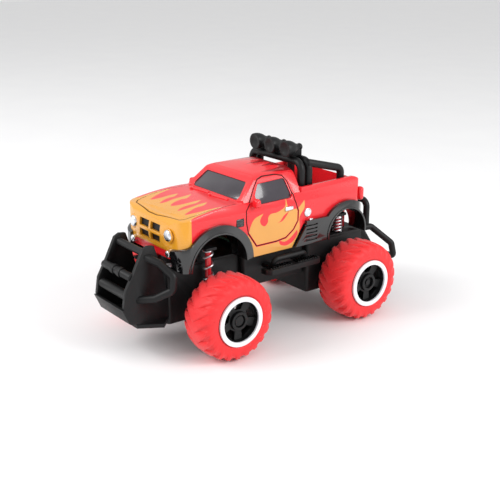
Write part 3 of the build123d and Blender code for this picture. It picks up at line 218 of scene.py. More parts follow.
def tinted(colour, gain):
    """A colour made lighter or darker by a gain."""
    return tuple(min(1.0, channel * gain) for channel in colour)


def gloss_paint(name, colour, shade=0.82, roughness=0.24, coat=0.35):
    """Glossy moulded or printed plastic with faint flow marks, swirl scratches and dust."""
    graph = Graph(name, coat_roughness=0.08, ior=1.5)
    flow = graph.noise(14.0, 3.0)
    peel = graph.noise(0.9, 2.0)
    scuff = graph.noise(0.35, 4.0, 0.7).step(0.56, 0.72) * graph.noise(6.0, 2.0).step(0.45, 0.7)
    graph.feed(
        base_color=graph.blend(scuff * 0.10 + flow.step(0.3, 0.75) * 0.5, colour, tinted(colour, shade)),
        roughness=roughness + 0.10 * flow + 0.16 * scuff,
        coat_weight=coat - 0.25 * scuff,
        normal=graph.relief(peel * 0.7 + flow * 0.3, 0.012),
    )
    return graph.material


def satin_mould(name, colour, roughness=0.46, grain_mm=0.32, depth_mm=0.010):
    """Unpainted black moulding with a fine spark-eroded grain and scuffed, dusty patches."""
    graph = Graph(name, ior=1.47, specular_ior_level=0.32)
    grain = graph.noise(grain_mm, 3.0, 0.6)
    cloud = graph.noise(9.0, 3.0)
    scuff = graph.noise(1.1, 5.0, 0.75).step(0.58, 0.74)
    graph.feed(
        base_color=graph.blend(scuff * 0.35 + cloud * 0.25, colour, tuple(c + 0.012 for c in colour)),
        roughness=roughness - 0.08 + 0.16 * cloud + 0.10 * scuff,
        normal=graph.relief(grain, depth_mm),
    )
    return graph.material


def soft_rubber(name, colour):
    """Matte vinyl tyre with a powdery bloom and small moulding pits."""
    graph = Graph(name, ior=1.45, sheen_weight=0.15, sheen_roughness=0.5)
    bloom = graph.noise(7.0, 4.0, 0.6)
    pits = graph.noise(0.5, 2.0)
    rub = graph.noise(1.6, 4.0, 0.7).step(0.55, 0.75)
    graph.feed(
        base_color=graph.blend(bloom.step(0.35, 0.75) * 0.55 + rub * 0.12, colour, tinted(colour, 0.78)),
        roughness=0.46 + 0.16 * bloom + 0.06 * rub,
        normal=graph.relief(pits * 0.6 + bloom * 0.4, 0.03),
    )
    return graph.material


def plated(name, colour, roughness, brushed_mm=0.25):
    """Bright metal or vacuum-plated plastic with hazy patches and hairlines."""
    graph = Graph(name, metallic=1.0)
    haze = graph.noise(3.0, 3.0)
    line = graph.noise(brushed_mm, 3.0, 0.7)
    graph.feed(
        base_color=graph.blend(haze.step(0.35, 0.8) * 0.5, colour, tinted(colour, 0.72)),
        roughness=roughness + 0.12 * haze + 0.08 * line,
        normal=graph.relief(line, 0.004),
    )
    return graph.material


def smoked_window(name):
    """Dark window liner: almost opaque smoked plastic with a hard gloss."""
    graph = Graph(name, ior=1.5, coat_weight=0.6, coat_roughness=0.04)
    haze = graph.noise(8.0, 3.0)
    ripple = graph.noise(2.5, 1.0)
    graph.feed(
        base_color=graph.blend(haze, (0.022, 0.017, 0.024), (0.045, 0.038, 0.050)),
        roughness=0.12 + 0.12 * haze,
        normal=graph.relief(ripple, 0.010),
    )
    return graph.material


def print_board(name):
    """Solder-masked board with tracks on a grid."""
    graph = Graph(name, ior=1.5)
    tracks = graph.node(
        "ShaderNodeTexBrick", {}, {"Vector": graph.place, "Scale": 400.0, "Mortar Size": 0.03}, "Fac"
    )
    flow = graph.noise(4.0)
    graph.feed(
        base_color=graph.blend(tracks, (0.004, 0.09, 0.03), (0.02, 0.2, 0.07)),
        roughness=0.3 + 0.2 * flow,
        normal=graph.relief(tracks, 0.03),
    )
    return graph.material


def pale_floor(name):
    """Matte studio floor with the faintest mottling."""
    graph = Graph(name)
    cloud = graph.noise(60.0, 3.0)
    graph.feed(
        base_color=graph.blend(cloud, (0.86, 0.86, 0.87), (0.90, 0.90, 0.90)),
        roughness=0.75 + 0.1 * cloud,
    )
    return graph.material


FINISHES = {}


def finish(name):
    """The material of a finish, made once."""
    if name not in FINISHES:
        paint = bpy.context.scene.pickup_paint
        makers = {
            "red_gloss": lambda: gloss_paint("body_red", paint.red),
            "dark_flame": lambda: gloss_paint("roof_flame_red", tinted(paint.red, 0.42)),
            "flame_print": lambda: gloss_paint("flame_yellow", paint.flame, 0.86, 0.3, 0.2),
            "nose_paint": lambda: gloss_paint("nose_yellow", paint.nose, 0.8, 0.22, 0.5),
            "smoked_window": lambda: smoked_window("smoked_window"),
            "black_gloss": lambda: gloss_paint("flare_black", (0.003, 0.003, 0.0035), 1.6, 0.12, 0.8),
            "black_satin": lambda: satin_mould("satin_black", (0.0045, 0.0045, 0.005)),
            # Near-black for the beads laid in the shut lines: painted shade that darkens the gaps as shadow
            # would.
            "gap_shade_black": lambda: satin_mould("gap_shade_black", (0.02, 0.002, 0.002), 0.7),
            "rim_black": lambda: satin_mould("rim_black", (0.004, 0.004, 0.0045), 0.34, 0.5, 0.005),
            "lens_silver": lambda: plated("lens_silver", (0.83, 0.84, 0.88), 0.16),
            "tyre_red": lambda: soft_rubber("tyre_red", paint.tyre),
            "ring_white": lambda: gloss_paint("ring_white", (0.84, 0.83, 0.87), 0.94, 0.32, 0.15),
            "bright_steel": lambda: plated("bright_steel", (0.62, 0.62, 0.64), 0.22, 0.12),
            "spring_silver": lambda: plated("spring_silver", (0.80, 0.80, 0.83), 0.24, 0.2),
            "damper_red": lambda: gloss_paint("damper_red", (0.62, 0.01, 0.02)),
            "board_green": lambda: print_board("board_green"),
            "cell_wrap": lambda: gloss_paint("cell_wrap", (0.03, 0.05, 0.09)),
            "contact_brass": lambda: plated("contact_brass", (0.78, 0.60, 0.28), 0.25),
            "gear_white": lambda: satin_mould("gear_white", (0.74, 0.74, 0.70), 0.4),
            "motor_can": lambda: plated("motor_can", (0.55, 0.56, 0.58), 0.3, 0.15),
        }
        FINISHES[name] = makers[name]()
    return FINISHES[name]


# ------------------------------------------------------------------ bench tools
SLOTS = {part["node"]: part["material_slot"] for part in frame["record"]["subparts"]}


def body_of_node(node):
    """Name of the CAD body that a node belongs to."""
    return frame["nodes"][node]["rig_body"]


def only(piece):
    """Selects one object alone and makes it active."""
    bpy.ops.object.select_all(action="DESELECT")
    piece.select_set(True)
    bpy.context.view_layer.objects.active = piece
    return piece


def fixed(piece):
    """Puts a piece's place, turn and size into its mesh."""
    only(piece)
    bpy.ops.object.transform_apply(location=True, rotation=True, scale=True)
    return piece


def cleaned(piece, *steps):
    """Runs mesh operators on all of a piece, each a name and its settings."""
    only(piece)
    bpy.ops.object.mode_set(mode="EDIT")
    for step, settings in steps:
        bpy.ops.mesh.select_all(action="SELECT")
        getattr(bpy.ops.mesh, step)(**settings)
    bpy.ops.object.mode_set(mode="OBJECT")
    return piece


MERGE = ("remove_doubles", {"threshold": MERGE_DISTANCE})
FACE_OUT = ("normals_make_consistent", {"inside": False})


def linked(name, data):
    """A new object in the scene."""
    piece = bpy.data.objects.new(name, data)
    bpy.context.scene.collection.objects.link(piece)
    return piece


def dressed(piece, material):
    """Gives a piece one material all over."""
    piece.data.materials.clear()
    piece.data.materials.append(finish(material))
    for face in piece.data.polygons:
        face.material_index = 0
    return piece


def settled(piece, name, body, material, nodes=(), angle=SMOOTH_DEGREES):
    """Names a finished piece, fixes its place, shades it and sets it riding on a body."""
    piece.name = name
    piece.data.name = name
    fixed(piece)
    bpy.ops.object.shade_smooth_by_angle(angle=math.radians(angle))
    dressed(piece, material)
    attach(piece, body)
    if nodes:
        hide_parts(*nodes)
    return piece


def copied(node, name):
    """A CAD node's mesh as a new piece, with its loose triangles merged into clean faces."""
    piece = linked(name, frame["nodes"][node].data.copy())
    cleaned(piece, MERGE, ("dissolve_limited", {"angle_limit": math.radians(FLAT_DEGREES)}))
    bpy.ops.mesh.customdata_custom_splitnormals_clear()
    return piece


def modified(piece, kind, **settings):
    """Adds a modifier and applies it."""
    only(piece)
    modifier = piece.modifiers.new(kind.title(), kind)
    for key, value in settings.items():
        setattr(modifier, key, value)
    bpy.ops.object.modifier_apply(modifier=modifier.name)
    return piece


def edge_rounded(piece, width_mm, segments=2):
    """Rounds every sharp edge."""
    return modified(
        piece,
        "BEVEL",
        width=width_mm * MM,
        segments=segments,
        limit_method="ANGLE",
        angle_limit=math.radians(BEVEL_DEGREES),
        use_clamp_overlap=True,
    )


def softened(node, width_mm, material):
    """A CAD node remade as a moulding with rounded edges."""
    name = node + "_moulding"
    piece = edge_rounded(copied(node, name), width_mm)
    return settled(piece, name, body_of_node(node), material, [node])


def painted(node, material):
    """A CAD node whose shape is right, with a better material."""
    return dressed(frame["nodes"][node], material)


# ------------------------------------------------------------------ outlines and cutters
def flowing(points, steps=5):
    """Closed curved outline through millimetre points. A third value marks a sharp tip."""
    count = len(points)
    spots = [Vector(point[:2]) for point in points]
    outline = []
    for index in range(count):
        here, there = spots[index], spots[(index + 1) % count]
        leave = (there - spots[index - 1]) / 2
        arrive = (spots[(index + 2) % count] - here) / 2
        if len(points[index]) > 2:
            leave = there - here
        if len(points[(index + 1) % count]) > 2:
            arrive = there - here
        for step in range(steps):
            t = step / steps
            swing = (2 * t**3 - 3 * t**2 + 1) * here + (t**3 - 2 * t**2 + t) * leave
            outline.append(swing + (3 * t**2 - 2 * t**3) * there + (t**3 - t**2) * arrive)
    return outline


def curve_mesh(name, dimensions, points, closed, radius=0.0, thickness=0.0):
    """A poly curve through points in millimetres, turned into a mesh."""
    curve = bpy.data.curves.new(name, "CURVE")
    curve.dimensions = dimensions
    curve.fill_mode = "BOTH" if dimensions == "2D" else "FULL"
    curve.extrude = thickness / 2 * MM
    curve.bevel_depth = radius * MM
    curve.bevel_resolution = 2
    curve.use_fill_caps = dimensions == "3D"
    spline = curve.splines.new("POLY")
    spline.points.add(len(points) - 1)
    for point, spot in zip(spline.points, points):
        spot = Vector(spot).to_3d() * MM
        point.co = (*spot, 1.0)
    spline.use_cyclic_u = closed
    piece = only(linked(name, curve))
    bpy.ops.object.convert(target="MESH")
    return cleaned(piece, MERGE, FACE_OUT)


def rod(name, points, radius, closed):
    """Thin round bar along points, in millimetres."""
    return curve_mesh(name, "3D", points, closed, radius=radius)


def slab(name, outline, axis, low, high):
    """A flat outline given thickness from low to high along X or Z, in millimetres."""
    piece = curve_mesh(name, "2D", outline, True, thickness=high - low)
    if axis == "X":
        piece.matrix_world = Matrix(((0, 0, 1, 0), (1, 0, 0, 0), (0, 1, 0, 0), (0, 0, 0, 1)))
    piece.location["XYZ".index(axis)] = (low + high) / 2 * MM
    return fixed(piece)


def joined(name, pieces):
    """Several pieces made one."""
    bpy.ops.object.select_all(action="DESELECT")
    for piece in pieces:
        piece.select_set(True)
    bpy.context.view_layer.objects.active = pieces[0]
    bpy.ops.object.join()
    pieces[0].name = name
    return pieces[0]


def carved(piece, cutter, operation="DIFFERENCE"):
    """A boolean with a cutter that stays for other cuts."""
    return modified(piece, "BOOLEAN", operation=operation, solver="EXACT", object=cutter)


def discard(*pieces):
    """Removes cutters."""
    for piece in pieces:
        bpy.data.objects.remove(piece, do_unlink=True)


def twin(piece):
    """A mirror image of a piece on the other side of the truck."""
    other = linked(piece.name + "_twin", piece.data.copy())
    other.matrix_world = Matrix.Diagonal((-1, 1, 1, 1))
    return cleaned(fixed(other), FACE_OUT)


SIDE_X = 60
TOP_Z = 120
TAIL_Y = 75


class Skin:
    """Finds where straight lines meet a piece's surface, in millimetres."""

    def __init__(self, piece):
        corners = [vertex.co for vertex in piece.data.vertices]
        self.tree = BVHTree.FromPolygons(corners, [face.vertices for face in piece.data.polygons])

    def hit(self, origin, direction):
        """First surface point along a direction."""
        spot = self.tree.ray_cast(Vector(origin) * MM, Vector(direction))[0]
        if spot is None:
            raise ValueError(f"no surface from {origin} along {direction}")
        return spot / MM

    def side(self, y, z):
        """Point on the left side."""
        return self.hit((SIDE_X, y, z), (-1, 0, 0))

    def top(self, x, y):
        """Point on the upper surface."""
        return self.hit((x, y, TOP_Z), (0, 0, -1))

    def back(self, x, z):
        """Point on the tail."""
        return self.hit((x, TAIL_Y, z), (0, -1, 0))


def spaced(outline, pitch, closed=True):
    """Extra points along a flat line so that it can follow a curved surface."""
    spots = [Vector(point[:2]) for point in outline]
    ends = spots[1:] + spots[:1] if closed else spots[1:]
    line = []
    for here, there in zip(spots, ends):
        count = max(1, round((there - here).length / pitch))
        line += [here.lerp(there, step / count) for step in range(count)]
    return line if closed else line + [spots[-1]]


DOOR_LINE = (
    (-23.5, 70.5), (-23.5, 65), (-22, 58.5), (-16.5, 50.7), (-3.5, 50.7), (3, 51.5), (8, 55), (11, 59.5),
    (11, 65), (8.5, 71.5), (6.6, 81), (4.4, 84.0), (0, 84.9), (-8, 85.0), (-11.8, 84.2), (-14.5, 81.5),
)
DOOR_FLAME = (
    (-22, 58), (-20.5, 62.5), (-18, 65.8), (-12.6, 67.6, 1), (-14.6, 64.6), (-14, 62), (-11.5, 60.5),
    (-9.5, 62.3), (-9.3, 64.8), (-7.6, 66.4), (-3.4, 66.6), (0.5, 68), (2, 69.5), (2.6, 74, 1), (3.4, 69),
    (4.8, 66.4), (8.5, 66.4), (11, 66.6), (15, 70.2, 1), (15.2, 66), (13, 63), (11.9, 60.5), (12.4, 55),
    (11, 49.5), (8.5, 44, 1), (-19, 44, 1), (-23.5, 52), (-23, 56),
)
DOOR_SLASH = ((4.8, 66, 1), (1.2, 64), (-1.2, 61.4), (-3.2, 60.6, 1), (0.2, 61.2), (2.6, 63.2))
DOOR_NOTCH = (
    (10.6, 54.5, 1), (6.5, 51), (2.5, 49.4), (-1.8, 50.8, 1), (-0.6, 48.2), (3.4, 47), (8, 48.4), (11, 52),
)
HOOD_TONGUES = (
    (25.4, -55.5), (24.4, -47), (23.0, -35.6, 1), (21.6, -42.5), (20.2, -49), (17.6, -54.4), (15.9, -51),
    (14.2, -45.5), (14.4, -41), (11.4, -36.6, 1), (11.0, -41), (11.4, -46), (10.8, -51), (9.6, -53.6),
    (8.0, -50), (7.9, -45), (8.4, -41.5), (5.8, -36.2, 1), (5.2, -41), (4.4, -46), (2.6, -50.5),
    (0.4, -51.7), (-1.8, -48.5), (-2.6, -43.5), (-2.2, -39.8), (-6.2, -34.6, 1), (-6.0, -40),
    (-6.4, -45.5), (-6.0, -50), (-7.4, -53.2), (-9.4, -50), (-10.2, -46), (-9.6, -43), (-12.4, -38.6, 1),
    (-13.4, -44), (-14, -49), (-16.4, -53.4), (-18.6, -49.5), (-20.6, -43.5), (-22.8, -35.8, 1),
    (-24.4, -47), (-25.4, -55.5),
)
NOSE_BACK = ((-30, -58, 1), (-30, -72, 1), (30, -72, 1), (30, -58, 1))
NOSE_BOTTOM_Z = 54.6
ROOF_TONGUES = (
    (19.0, 16, 1), (18.0, 3.5), (15.6, -5.5, 1), (15.4, 1), (14.2, 6.5), (12.2, 8.6), (10.2, 4.5),
    (9.6, -1.5, 1), (8.6, 3), (7.2, 7), (5.4, 6.6), (4.4, 0.5), (2.6, -6, 1), (2.2, 1), (0.8, 6.6),
    (-1.6, 7.4), (-3.8, 3), (-5.8, -3.4, 1), (-6.2, 3), (-7.8, 7.4), (-10.2, 6.4), (-11.6, 0.5),
    (-13.8, -6.4, 1), (-14.2, 1), (-16, 6.6), (-19, 8, 1), (-19, 16, 1),
)
HOOD_LINE = (
    (-23.2, -27.5), (-23.7, -36), (-23, -52), (-22.2, -57.6), (-20.4, -59.6), (-12, -60.8), (-4, -62.0),
    (4, -62.0), (12, -60.8), (20.4, -59.6), (22.2, -57.6), (23, -52), (23.7, -36), (23.2, -27.5),
)
TAILGATE_LINE = (
    (-19, 64), (-19.4, 71), (-18.6, 74), (18.6, 74), (19.4, 71), (19, 64), (17.5, 62.6), (-17.5, 62.6),
)
DOOR_PAINT_X = (24.6, 34)
DOOR_CUT_X = (20, 38)
DOOR_MARGIN = 0.62
HOOD_TOP_Z = 82
ROOF_PAINT_Z = (80, 92)
# Depth and thickness of the dark beads under the shut-line grooves: painted shade standing in for the
# shadow inside the gaps.
GAP_SHADE_DEPTH = 0.28
GAP_SHADE_RADIUS = 0.3
HOOD_GAP_SHADE_DEPTH = 0.3
HOOD_GAP_SHADE_RADIUS = 0.28


def hood_paint_cutter():
    """Hood tongues down to the nose, as one block."""
    return slab("hood_cutter", flowing(HOOD_TONGUES + NOSE_BACK), "Z", NOSE_BOTTOM_Z, HOOD_TOP_Z)


def door_paint_cutter(skin):
    """Door flame with its red marks and the red margin along the shut line left out."""
    flame = slab("door_cutter", flowing(DOOR_FLAME), "X", *DOOR_PAINT_X)
    slash = slab("slash", flowing(DOOR_SLASH), "X", *DOOR_CUT_X)
    notch = slab("notch", flowing(DOOR_NOTCH), "X", *DOOR_CUT_X)
    margin = rod("margin", [skin.side(*spot) for spot in spaced(DOOR_LINE, 1.2)], DOOR_MARGIN, True)
    for cutter in (slash, notch, margin):
        carved(flame, cutter)
    discard(slash, notch, margin)
    return joined("door_cutter", [flame, twin(flame)])


def on_body(piece, name, material, nodes=()):
    """Settles a trim piece on the chassis body."""
    return settled(piece, name, "chassis", material, nodes)


QUARTER = math.radians(90)
TURNS = {"X": (0, QUARTER, 0), "Y": (QUARTER, 0, 0), "Z": (0, 0, 0)}


def rounded_box(name, centre, size, radius_mm, segments=3):
    """A block with rounded edges, in millimetres."""
    bpy.ops.object.select_all(action="DESELECT")
    bpy.ops.mesh.primitive_cube_add(size=1.0)
    piece = bpy.context.object
    piece.name = name
    piece.scale = [extent * MM for extent in size]
    piece.location = [place * MM for place in centre]
    return edge_rounded(fixed(piece), radius_mm, segments)


def round_boss(name, centre, radius, depth, axis, soft_mm, sides=40):
    """A short round button along an axis with a softened rim, in millimetres."""
    bpy.ops.object.select_all(action="DESELECT")
    bpy.ops.mesh.primitive_cylinder_add(
        vertices=sides,
        radius=radius * MM,
        depth=depth * MM,
        location=[place * MM for place in centre],
        rotation=TURNS[axis],
    )
    piece = bpy.context.object
    piece.name = name
    return edge_rounded(fixed(piece), soft_mm, 3)


def ring(name, centre, major, minor, axis):
    """A round bead about an axis, in millimetres."""
    bpy.ops.object.select_all(action="DESELECT")
    bpy.ops.mesh.primitive_torus_add(
        location=[place * MM for place in centre],
        rotation=TURNS[axis],
        major_radius=major * MM,
        minor_radius=minor * MM,
        major_segments=48,
        minor_segments=10,
    )
    piece = bpy.context.object
    piece.name = name
    return fixed(piece)


# ------------------------------------------------------------------ operators
class PICKUP_OT_body(bpy.types.Operator):
    """Body shell with its shut lines and flames"""

    bl_idname = "pickup.body"
    bl_label = "Body shell"

    def execute(self, context):
        groove = context.scene.pickup_shape.groove / MM
        shell = edge_rounded(copied("body_shell", "body_red"), 0.45)
        skin = Skin(shell)
        door_path = [skin.side(*spot) for spot in spaced(DOOR_LINE, 1.0)]
        hood_path = [skin.top(*spot) for spot in spaced(HOOD_LINE, 1.0, False)]
        gate_path = [skin.back(*spot) for spot in spaced(TAILGATE_LINE, 1.2)]
        door = rod("door_line", door_path, groove, True)
        hood = rod("hood_line", hood_path, groove, False)
        gate = rod("gate_line", gate_path, groove, True)
        lines = (door, twin(door), hood, gate)
        # Dark beads laid just under each groove: painted shade, darkening the shut lines where shadow would
        # fall in a real gap.
        door_bed = [spot - Vector((GAP_SHADE_DEPTH, 0, 0)) for spot in door_path]
        hood_bed = [spot - Vector((0, 0, HOOD_GAP_SHADE_DEPTH)) for spot in hood_path]
        gate_bed = [spot - Vector((0, GAP_SHADE_DEPTH, 0)) for spot in gate_path]
        door_gap_shade = rod("door_gap_shade", door_bed, GAP_SHADE_RADIUS, True)
        hood_gap_shade = rod("hood_gap_shade", hood_bed, HOOD_GAP_SHADE_RADIUS, False)
        gate_gap_shade = rod("gate_gap_shade", gate_bed, GAP_SHADE_RADIUS, True)
        gap_shades = joined("shut_line_shades", [door_gap_shade, twin(door_gap_shade), hood_gap_shade, gate_gap_shade])
        on_body(gap_shades, "shut_line_shades", "gap_shade_black")
        cutters = {
            "door_flames": (door_paint_cutter(skin), "flame_print"),
            "hood_flames": (hood_paint_cutter(), "nose_paint"),
            "roof_flames": (slab("roof_cutter", flowing(ROOF_TONGUES), "Z", *ROOF_PAINT_Z), "dark_flame"),
        }
        for line in lines:
            carved(shell, line)
        discard(*lines)
        for name, (cutter, material) in cutters.items():
            panel = linked(name, shell.data.copy())
            carved(panel, cutter, "INTERSECT")
            carved(shell, cutter)
            discard(cutter)
            on_body(panel, name, material, nodes=["body_shell"])
        on_body(shell, "body_red", "red_gloss", nodes=["body_shell"])
        for side in ("left", "right"):
            softened("door_mirror_" + side, 0.3, "red_gloss")
        return {"FINISHED"}


class PICKUP_OT_body_trim(bpy.types.Operator):
    """Handles, fuel cap, vents, wipers, lamp bezels and tail lamps"""

    bl_idname = "pickup.body_trim"
    bl_label = "Body trim"

    def execute(self, context):
        skin = Skin(frame["nodes"]["body_shell"])
        on_sides = {}
        handle = skin.side(4.3, 67.4)
        grip = rounded_box("handle", handle + Vector((0.25, 0, 0)), (1.5, 5.4, 2.3), 0.6)
        on_sides["door_handle"] = (grip, "lens_silver", "lens_silver")
        vent = skin.side(-27.4, 65.2)
        vent_piece = rounded_box("vent", vent + Vector((-0.25, 0, 0)), (1.2, 5.0, 4.4), 0.5)
        slots = []
        for lift in (-1.2, 0, 1.2):
            slots.append(rounded_box("slot", vent + Vector((0.45, 0, lift)), (0.8, 4.0, 0.5), 0.15))
        slot_block = joined("slots", slots)
        carved(vent_piece, slot_block)
        discard(slot_block)
        on_sides["fender_vent"] = (vent_piece, "black_gloss", "black_gloss")
        tail = rounded_box("tail", (24.8, 57.9, 66.6), (4.2, 3.4, 7.6), 1.6, 5)
        on_sides["tail_lamp"] = (tail, "red_gloss", "red_gloss")
        bezel = ring("bezel", (16.3, -63.6, 62.9), 3.35, 0.45, "Y")
        on_sides["headlight_bezel"] = (bezel, "nose_paint", "red_gloss")
        for name, (piece, material, slot) in on_sides.items():
            on_body(twin(piece), name + "_right", material)
            on_body(piece, name + "_left", material)
        cap_spot = skin.side(17.5, 63.0)
        cap = joined(
            "fuel_cap",
            [
                round_boss("cap", cap_spot, 2.4, 1.2, "X", 0.3),
                ring("cap_rim", cap_spot + Vector((0.55, 0, 0)), 1.7, 0.22, "X"),
            ],
        )
        on_body(cap, "fuel_cap", "lens_silver")
        badge = skin.side(20.0, 58.4)
        latch = rounded_box("latch", badge + Vector((0.3, 0, 0)), (1.0, 2.4, 1.6), 0.3)
        on_body(latch, "side_latch", "lens_silver")
        gate_spot = skin.back(0, 70.5)
        gate_handle = rounded_box("gate_handle", gate_spot + Vector((0, 0.2, 0)), (9.0, 1.2, 2.6), 0.5)
        on_body(gate_handle, "tailgate_handle", "black_gloss")
        floor_z = skin.top(0, 40).z
        ribs = []
        for x in range(-15, 16, 5):
            ribs.append(rounded_box("rib", (x, 39.5, floor_z + 0.1), (1.5, 27, 0.8), 0.3, 2))
        on_body(joined("bed_ribs", ribs), "bed_ribs", "red_gloss")
        wipers = []
        for start, end in (((-16, -27.6), (-2.5, -26.0)), ((1.5, -27.9), (15, -26.4))):
            path = spaced((start, end), 1.5, False)
            spots = [skin.top(*spot) + Vector((0, 0, 0.25)) for spot in path]
            wipers.append(rod("wiper", spots, 0.6, False))
            wipers.append(round_boss("pivot", spots[0], 1.3, 1.8, "Z", 0.5, 24))
        on_body(joined("wipers", wipers), "wipers", "red_gloss")
        return {"FINISHED"}


TREAD_BARS = 20
TREAD_GAP = (9, 10)
TREAD_START_Y = -11.0
TREAD_LENGTH = 32.0


class PICKUP_OT_trim(bpy.types.Operator):
    """Windows, lamps, flares, guards and steps"""

    bl_idname = "pickup.trim"
    bl_label = "Trim"

    def execute(self, context):
        softened("window_glass", 0.2, "smoked_window")
        painted("grille_insert", "black_gloss")
        for node in ("headlight_lenses", "fog_lamps"):
            softened(node, 0.15, "lens_silver")
        for side in ("left", "right"):
            for place in ("front", "rear"):
                softened(f"flare_{place}_{side}", 0.4, "black_gloss")
            softened("side_step_" + side, 0.35, "black_satin")
        for node in ("roll_bar", "spot_lamps", "bull_bar", "rear_bumper"):
            softened(node, 0.4, "black_satin")
        treads = []
        for index in range(TREAD_BARS):
            if index not in TREAD_GAP:
                bar_y = TREAD_START_Y + index * TREAD_LENGTH / (TREAD_BARS - 1)
                treads.append(rounded_box("tread", (30.0, bar_y, 38.2), (4.4, 0.8, 1.0), 0.2, 1))
        pads = joined("pads", treads)
        on_body(twin(pads), "step_treads_right", "black_gloss")
        on_body(pads, "step_treads_left", "black_gloss")
        return {"FINISHED"}


TYRE_MIDDLE_X = 36.8
TYRE_PROFILE = (
    (26.1, 13.2), (26.0, 15.0), (26.2, 17.2), (27.0, 18.9), (28.6, 19.9), (31.0, 20.55), (34.0, 20.8),
    (36.8, 20.85), (39.6, 20.8), (42.6, 20.55), (45.0, 19.9), (46.6, 18.7), (47.2, 17.0), (47.3, 15.6),
    (47.2, 14.2), (46.6, 13.2), (46.6, 12.9), (40, 12.9), (33, 12.9), (26.6, 12.9),
)
TYRE_HALF_WIDTH = 10.4
LUG_COLUMNS = 12
LUG_HALF_COLUMNS = 3.3
LUG_FOOT_RADIUS = 15.6
LUG_FULL_RADIUS = 19.5
LUG_RISE = 3.9
SHOULDER_RADIUS = 19.6
SHOULDER_SPAN = 4.0
CROWN_SHARE = 0.85
WALL_SHARE = 0.35
CHEVRON_DEGREES = 26.0
CHEVRON_ROOT_RADIUS = 12.0
BORE_RADIUS = 14
TYRE_SMOOTH_DEGREES = 40.0


def tyre_section():
    """The tyre's section with its crown curved and its bore straight."""
    return flowing([(*point, 1) if point[1] < BORE_RADIUS else point for point in TYRE_PROFILE], 3)


def tread_share(x, radius, column):
    """How far a carcass point stands out, 0 in the valleys to 1 on a lug."""
    if radius < LUG_FOOT_RADIUS:
        return 0.0
    out = abs(x - TYRE_MIDDLE_X) / TYRE_HALF_WIDTH
    fade = 1.0 if radius > LUG_FULL_RADIUS else (radius - LUG_FOOT_RADIUS) / LUG_RISE
    half_width = LUG_HALF_COLUMNS - 1.6 * max(0.0, out - 0.55)
    distance = abs(column % LUG_COLUMNS - LUG_COLUMNS / 2)
    return fade * max(0.0, min(1.0, half_width + 0.5 - distance))


def lugged_tyre(shape):
    """One tyre about the X axis: spun carcass, twisted into chevrons, with its lugs raised."""
    columns = shape.lug_count * LUG_COLUMNS
    spin = {"steps": columns, "angle": math.tau, "center": (0, 0, 0), "axis": (1, 0, 0)}
    piece = curve_mesh("tyre", "2D", tyre_section(), True)
    cleaned(piece, ("delete", {"type": "ONLY_FACE"}), ("spin", spin), MERGE, FACE_OUT)
    for vertex in piece.data.vertices:
        x, y, z = vertex.co / MM
        radius = math.hypot(y, z)
        angle = math.atan2(z, y)
        column = round(angle / math.tau * columns)
        lift = shape.lug_height / MM * tread_share(x, radius, column)
        slope = math.atan2(abs(x - TYRE_MIDDLE_X), radius - CHEVRON_ROOT_RADIUS)
        side = math.copysign(1.0, x - TYRE_MIDDLE_X)
        across = max(0.0, min(1.0, (SHOULDER_RADIUS - radius) / SHOULDER_SPAN))
        radius += lift * (1 - across) * CROWN_SHARE
        x += side * lift * across * WALL_SHARE
        swing = angle - math.radians(CHEVRON_DEGREES) * min(1.15, slope / 1.2)
        vertex.co = Vector((x, radius * math.cos(swing), radius * math.sin(swing))) * MM
    return piece


COIL_STEPS = 24
CLOSED_TURN = 0.6
COIL_INSET = 0.6
WIRE_RADIUS = 0.56
COIL_SMOOTH_DEGREES = 60.0


def coil(name, centre, radius, wire, low, high, turns):
    """A compression spring with closed end turns, in millimetres."""
    x, y = centre
    steps = int(turns * COIL_STEPS)
    spots = []
    for step in range(steps + 1):
        angle = math.tau * turns * step / steps
        share = min(1.0, max(0.0, (step / steps * turns - CLOSED_TURN) / (turns - 2 * CLOSED_TURN)))
        height = low + wire + (high - low - 2 * wire) * share
        spots.append((x + radius * math.cos(angle), y + radius * math.sin(angle), height))
    return rod(name, spots, wire, False)


class PICKUP_OT_wheels(bpy.types.Operator):
    """Tyres, rims and rings"""

    bl_idname = "pickup.wheels"
    bl_label = "Wheels"

    def execute(self, context):
        master = lugged_tyre(context.scene.pickup_shape)
        for place in ("front", "rear"):
            for side in ("left", "right"):
                node = f"tyre_{place}_{side}"
                low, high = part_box(node)
                tyre = linked(node, master.data.copy())
                tyre.location = (0, (low[1] + high[1]) / 2, (low[2] + high[2]) / 2)
                fixed(tyre)
                if side == "right":
                    original = tyre
                    tyre = twin(original)
                    discard(original)
                body = body_of_node(node)
                settled(tyre, node + "_lugged", body, "tyre_red", [node], TYRE_SMOOTH_DEGREES)
                softened(f"rim_{place}_{side}", 0.3, "rim_black")
                softened(f"wheel_ring_{place}_{side}", 0.25, "ring_white")
        discard(master)
        return {"FINISHED"}


class PICKUP_OT_suspension(bpy.types.Operator):
    """Coil springs and dampers"""

    bl_idname = "pickup.suspension"
    bl_label = "Suspension"

    def execute(self, context):
        shape = context.scene.pickup_shape
        for place, turns in (("front", shape.front_turns), ("rear", shape.rear_turns)):
            for side in ("left", "right"):
                node = f"spring_{place}_{side}"
                low, high = (Vector(corner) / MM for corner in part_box(node))
                centre = (low + high).xy / 2
                outer = (high.x - low.x) / 2
                spring = coil(node, centre, outer - COIL_INSET, WIRE_RADIUS, low.z, high.z, turns)
                body, slot, angle = body_of_node(node), SLOTS[node], COIL_SMOOTH_DEGREES
                settled(spring, node + "_coil", body, "spring_silver", [node], angle)
                softened(f"damper_{place}_{side}", 0.2, "damper_red")
        return {"FINISHED"}


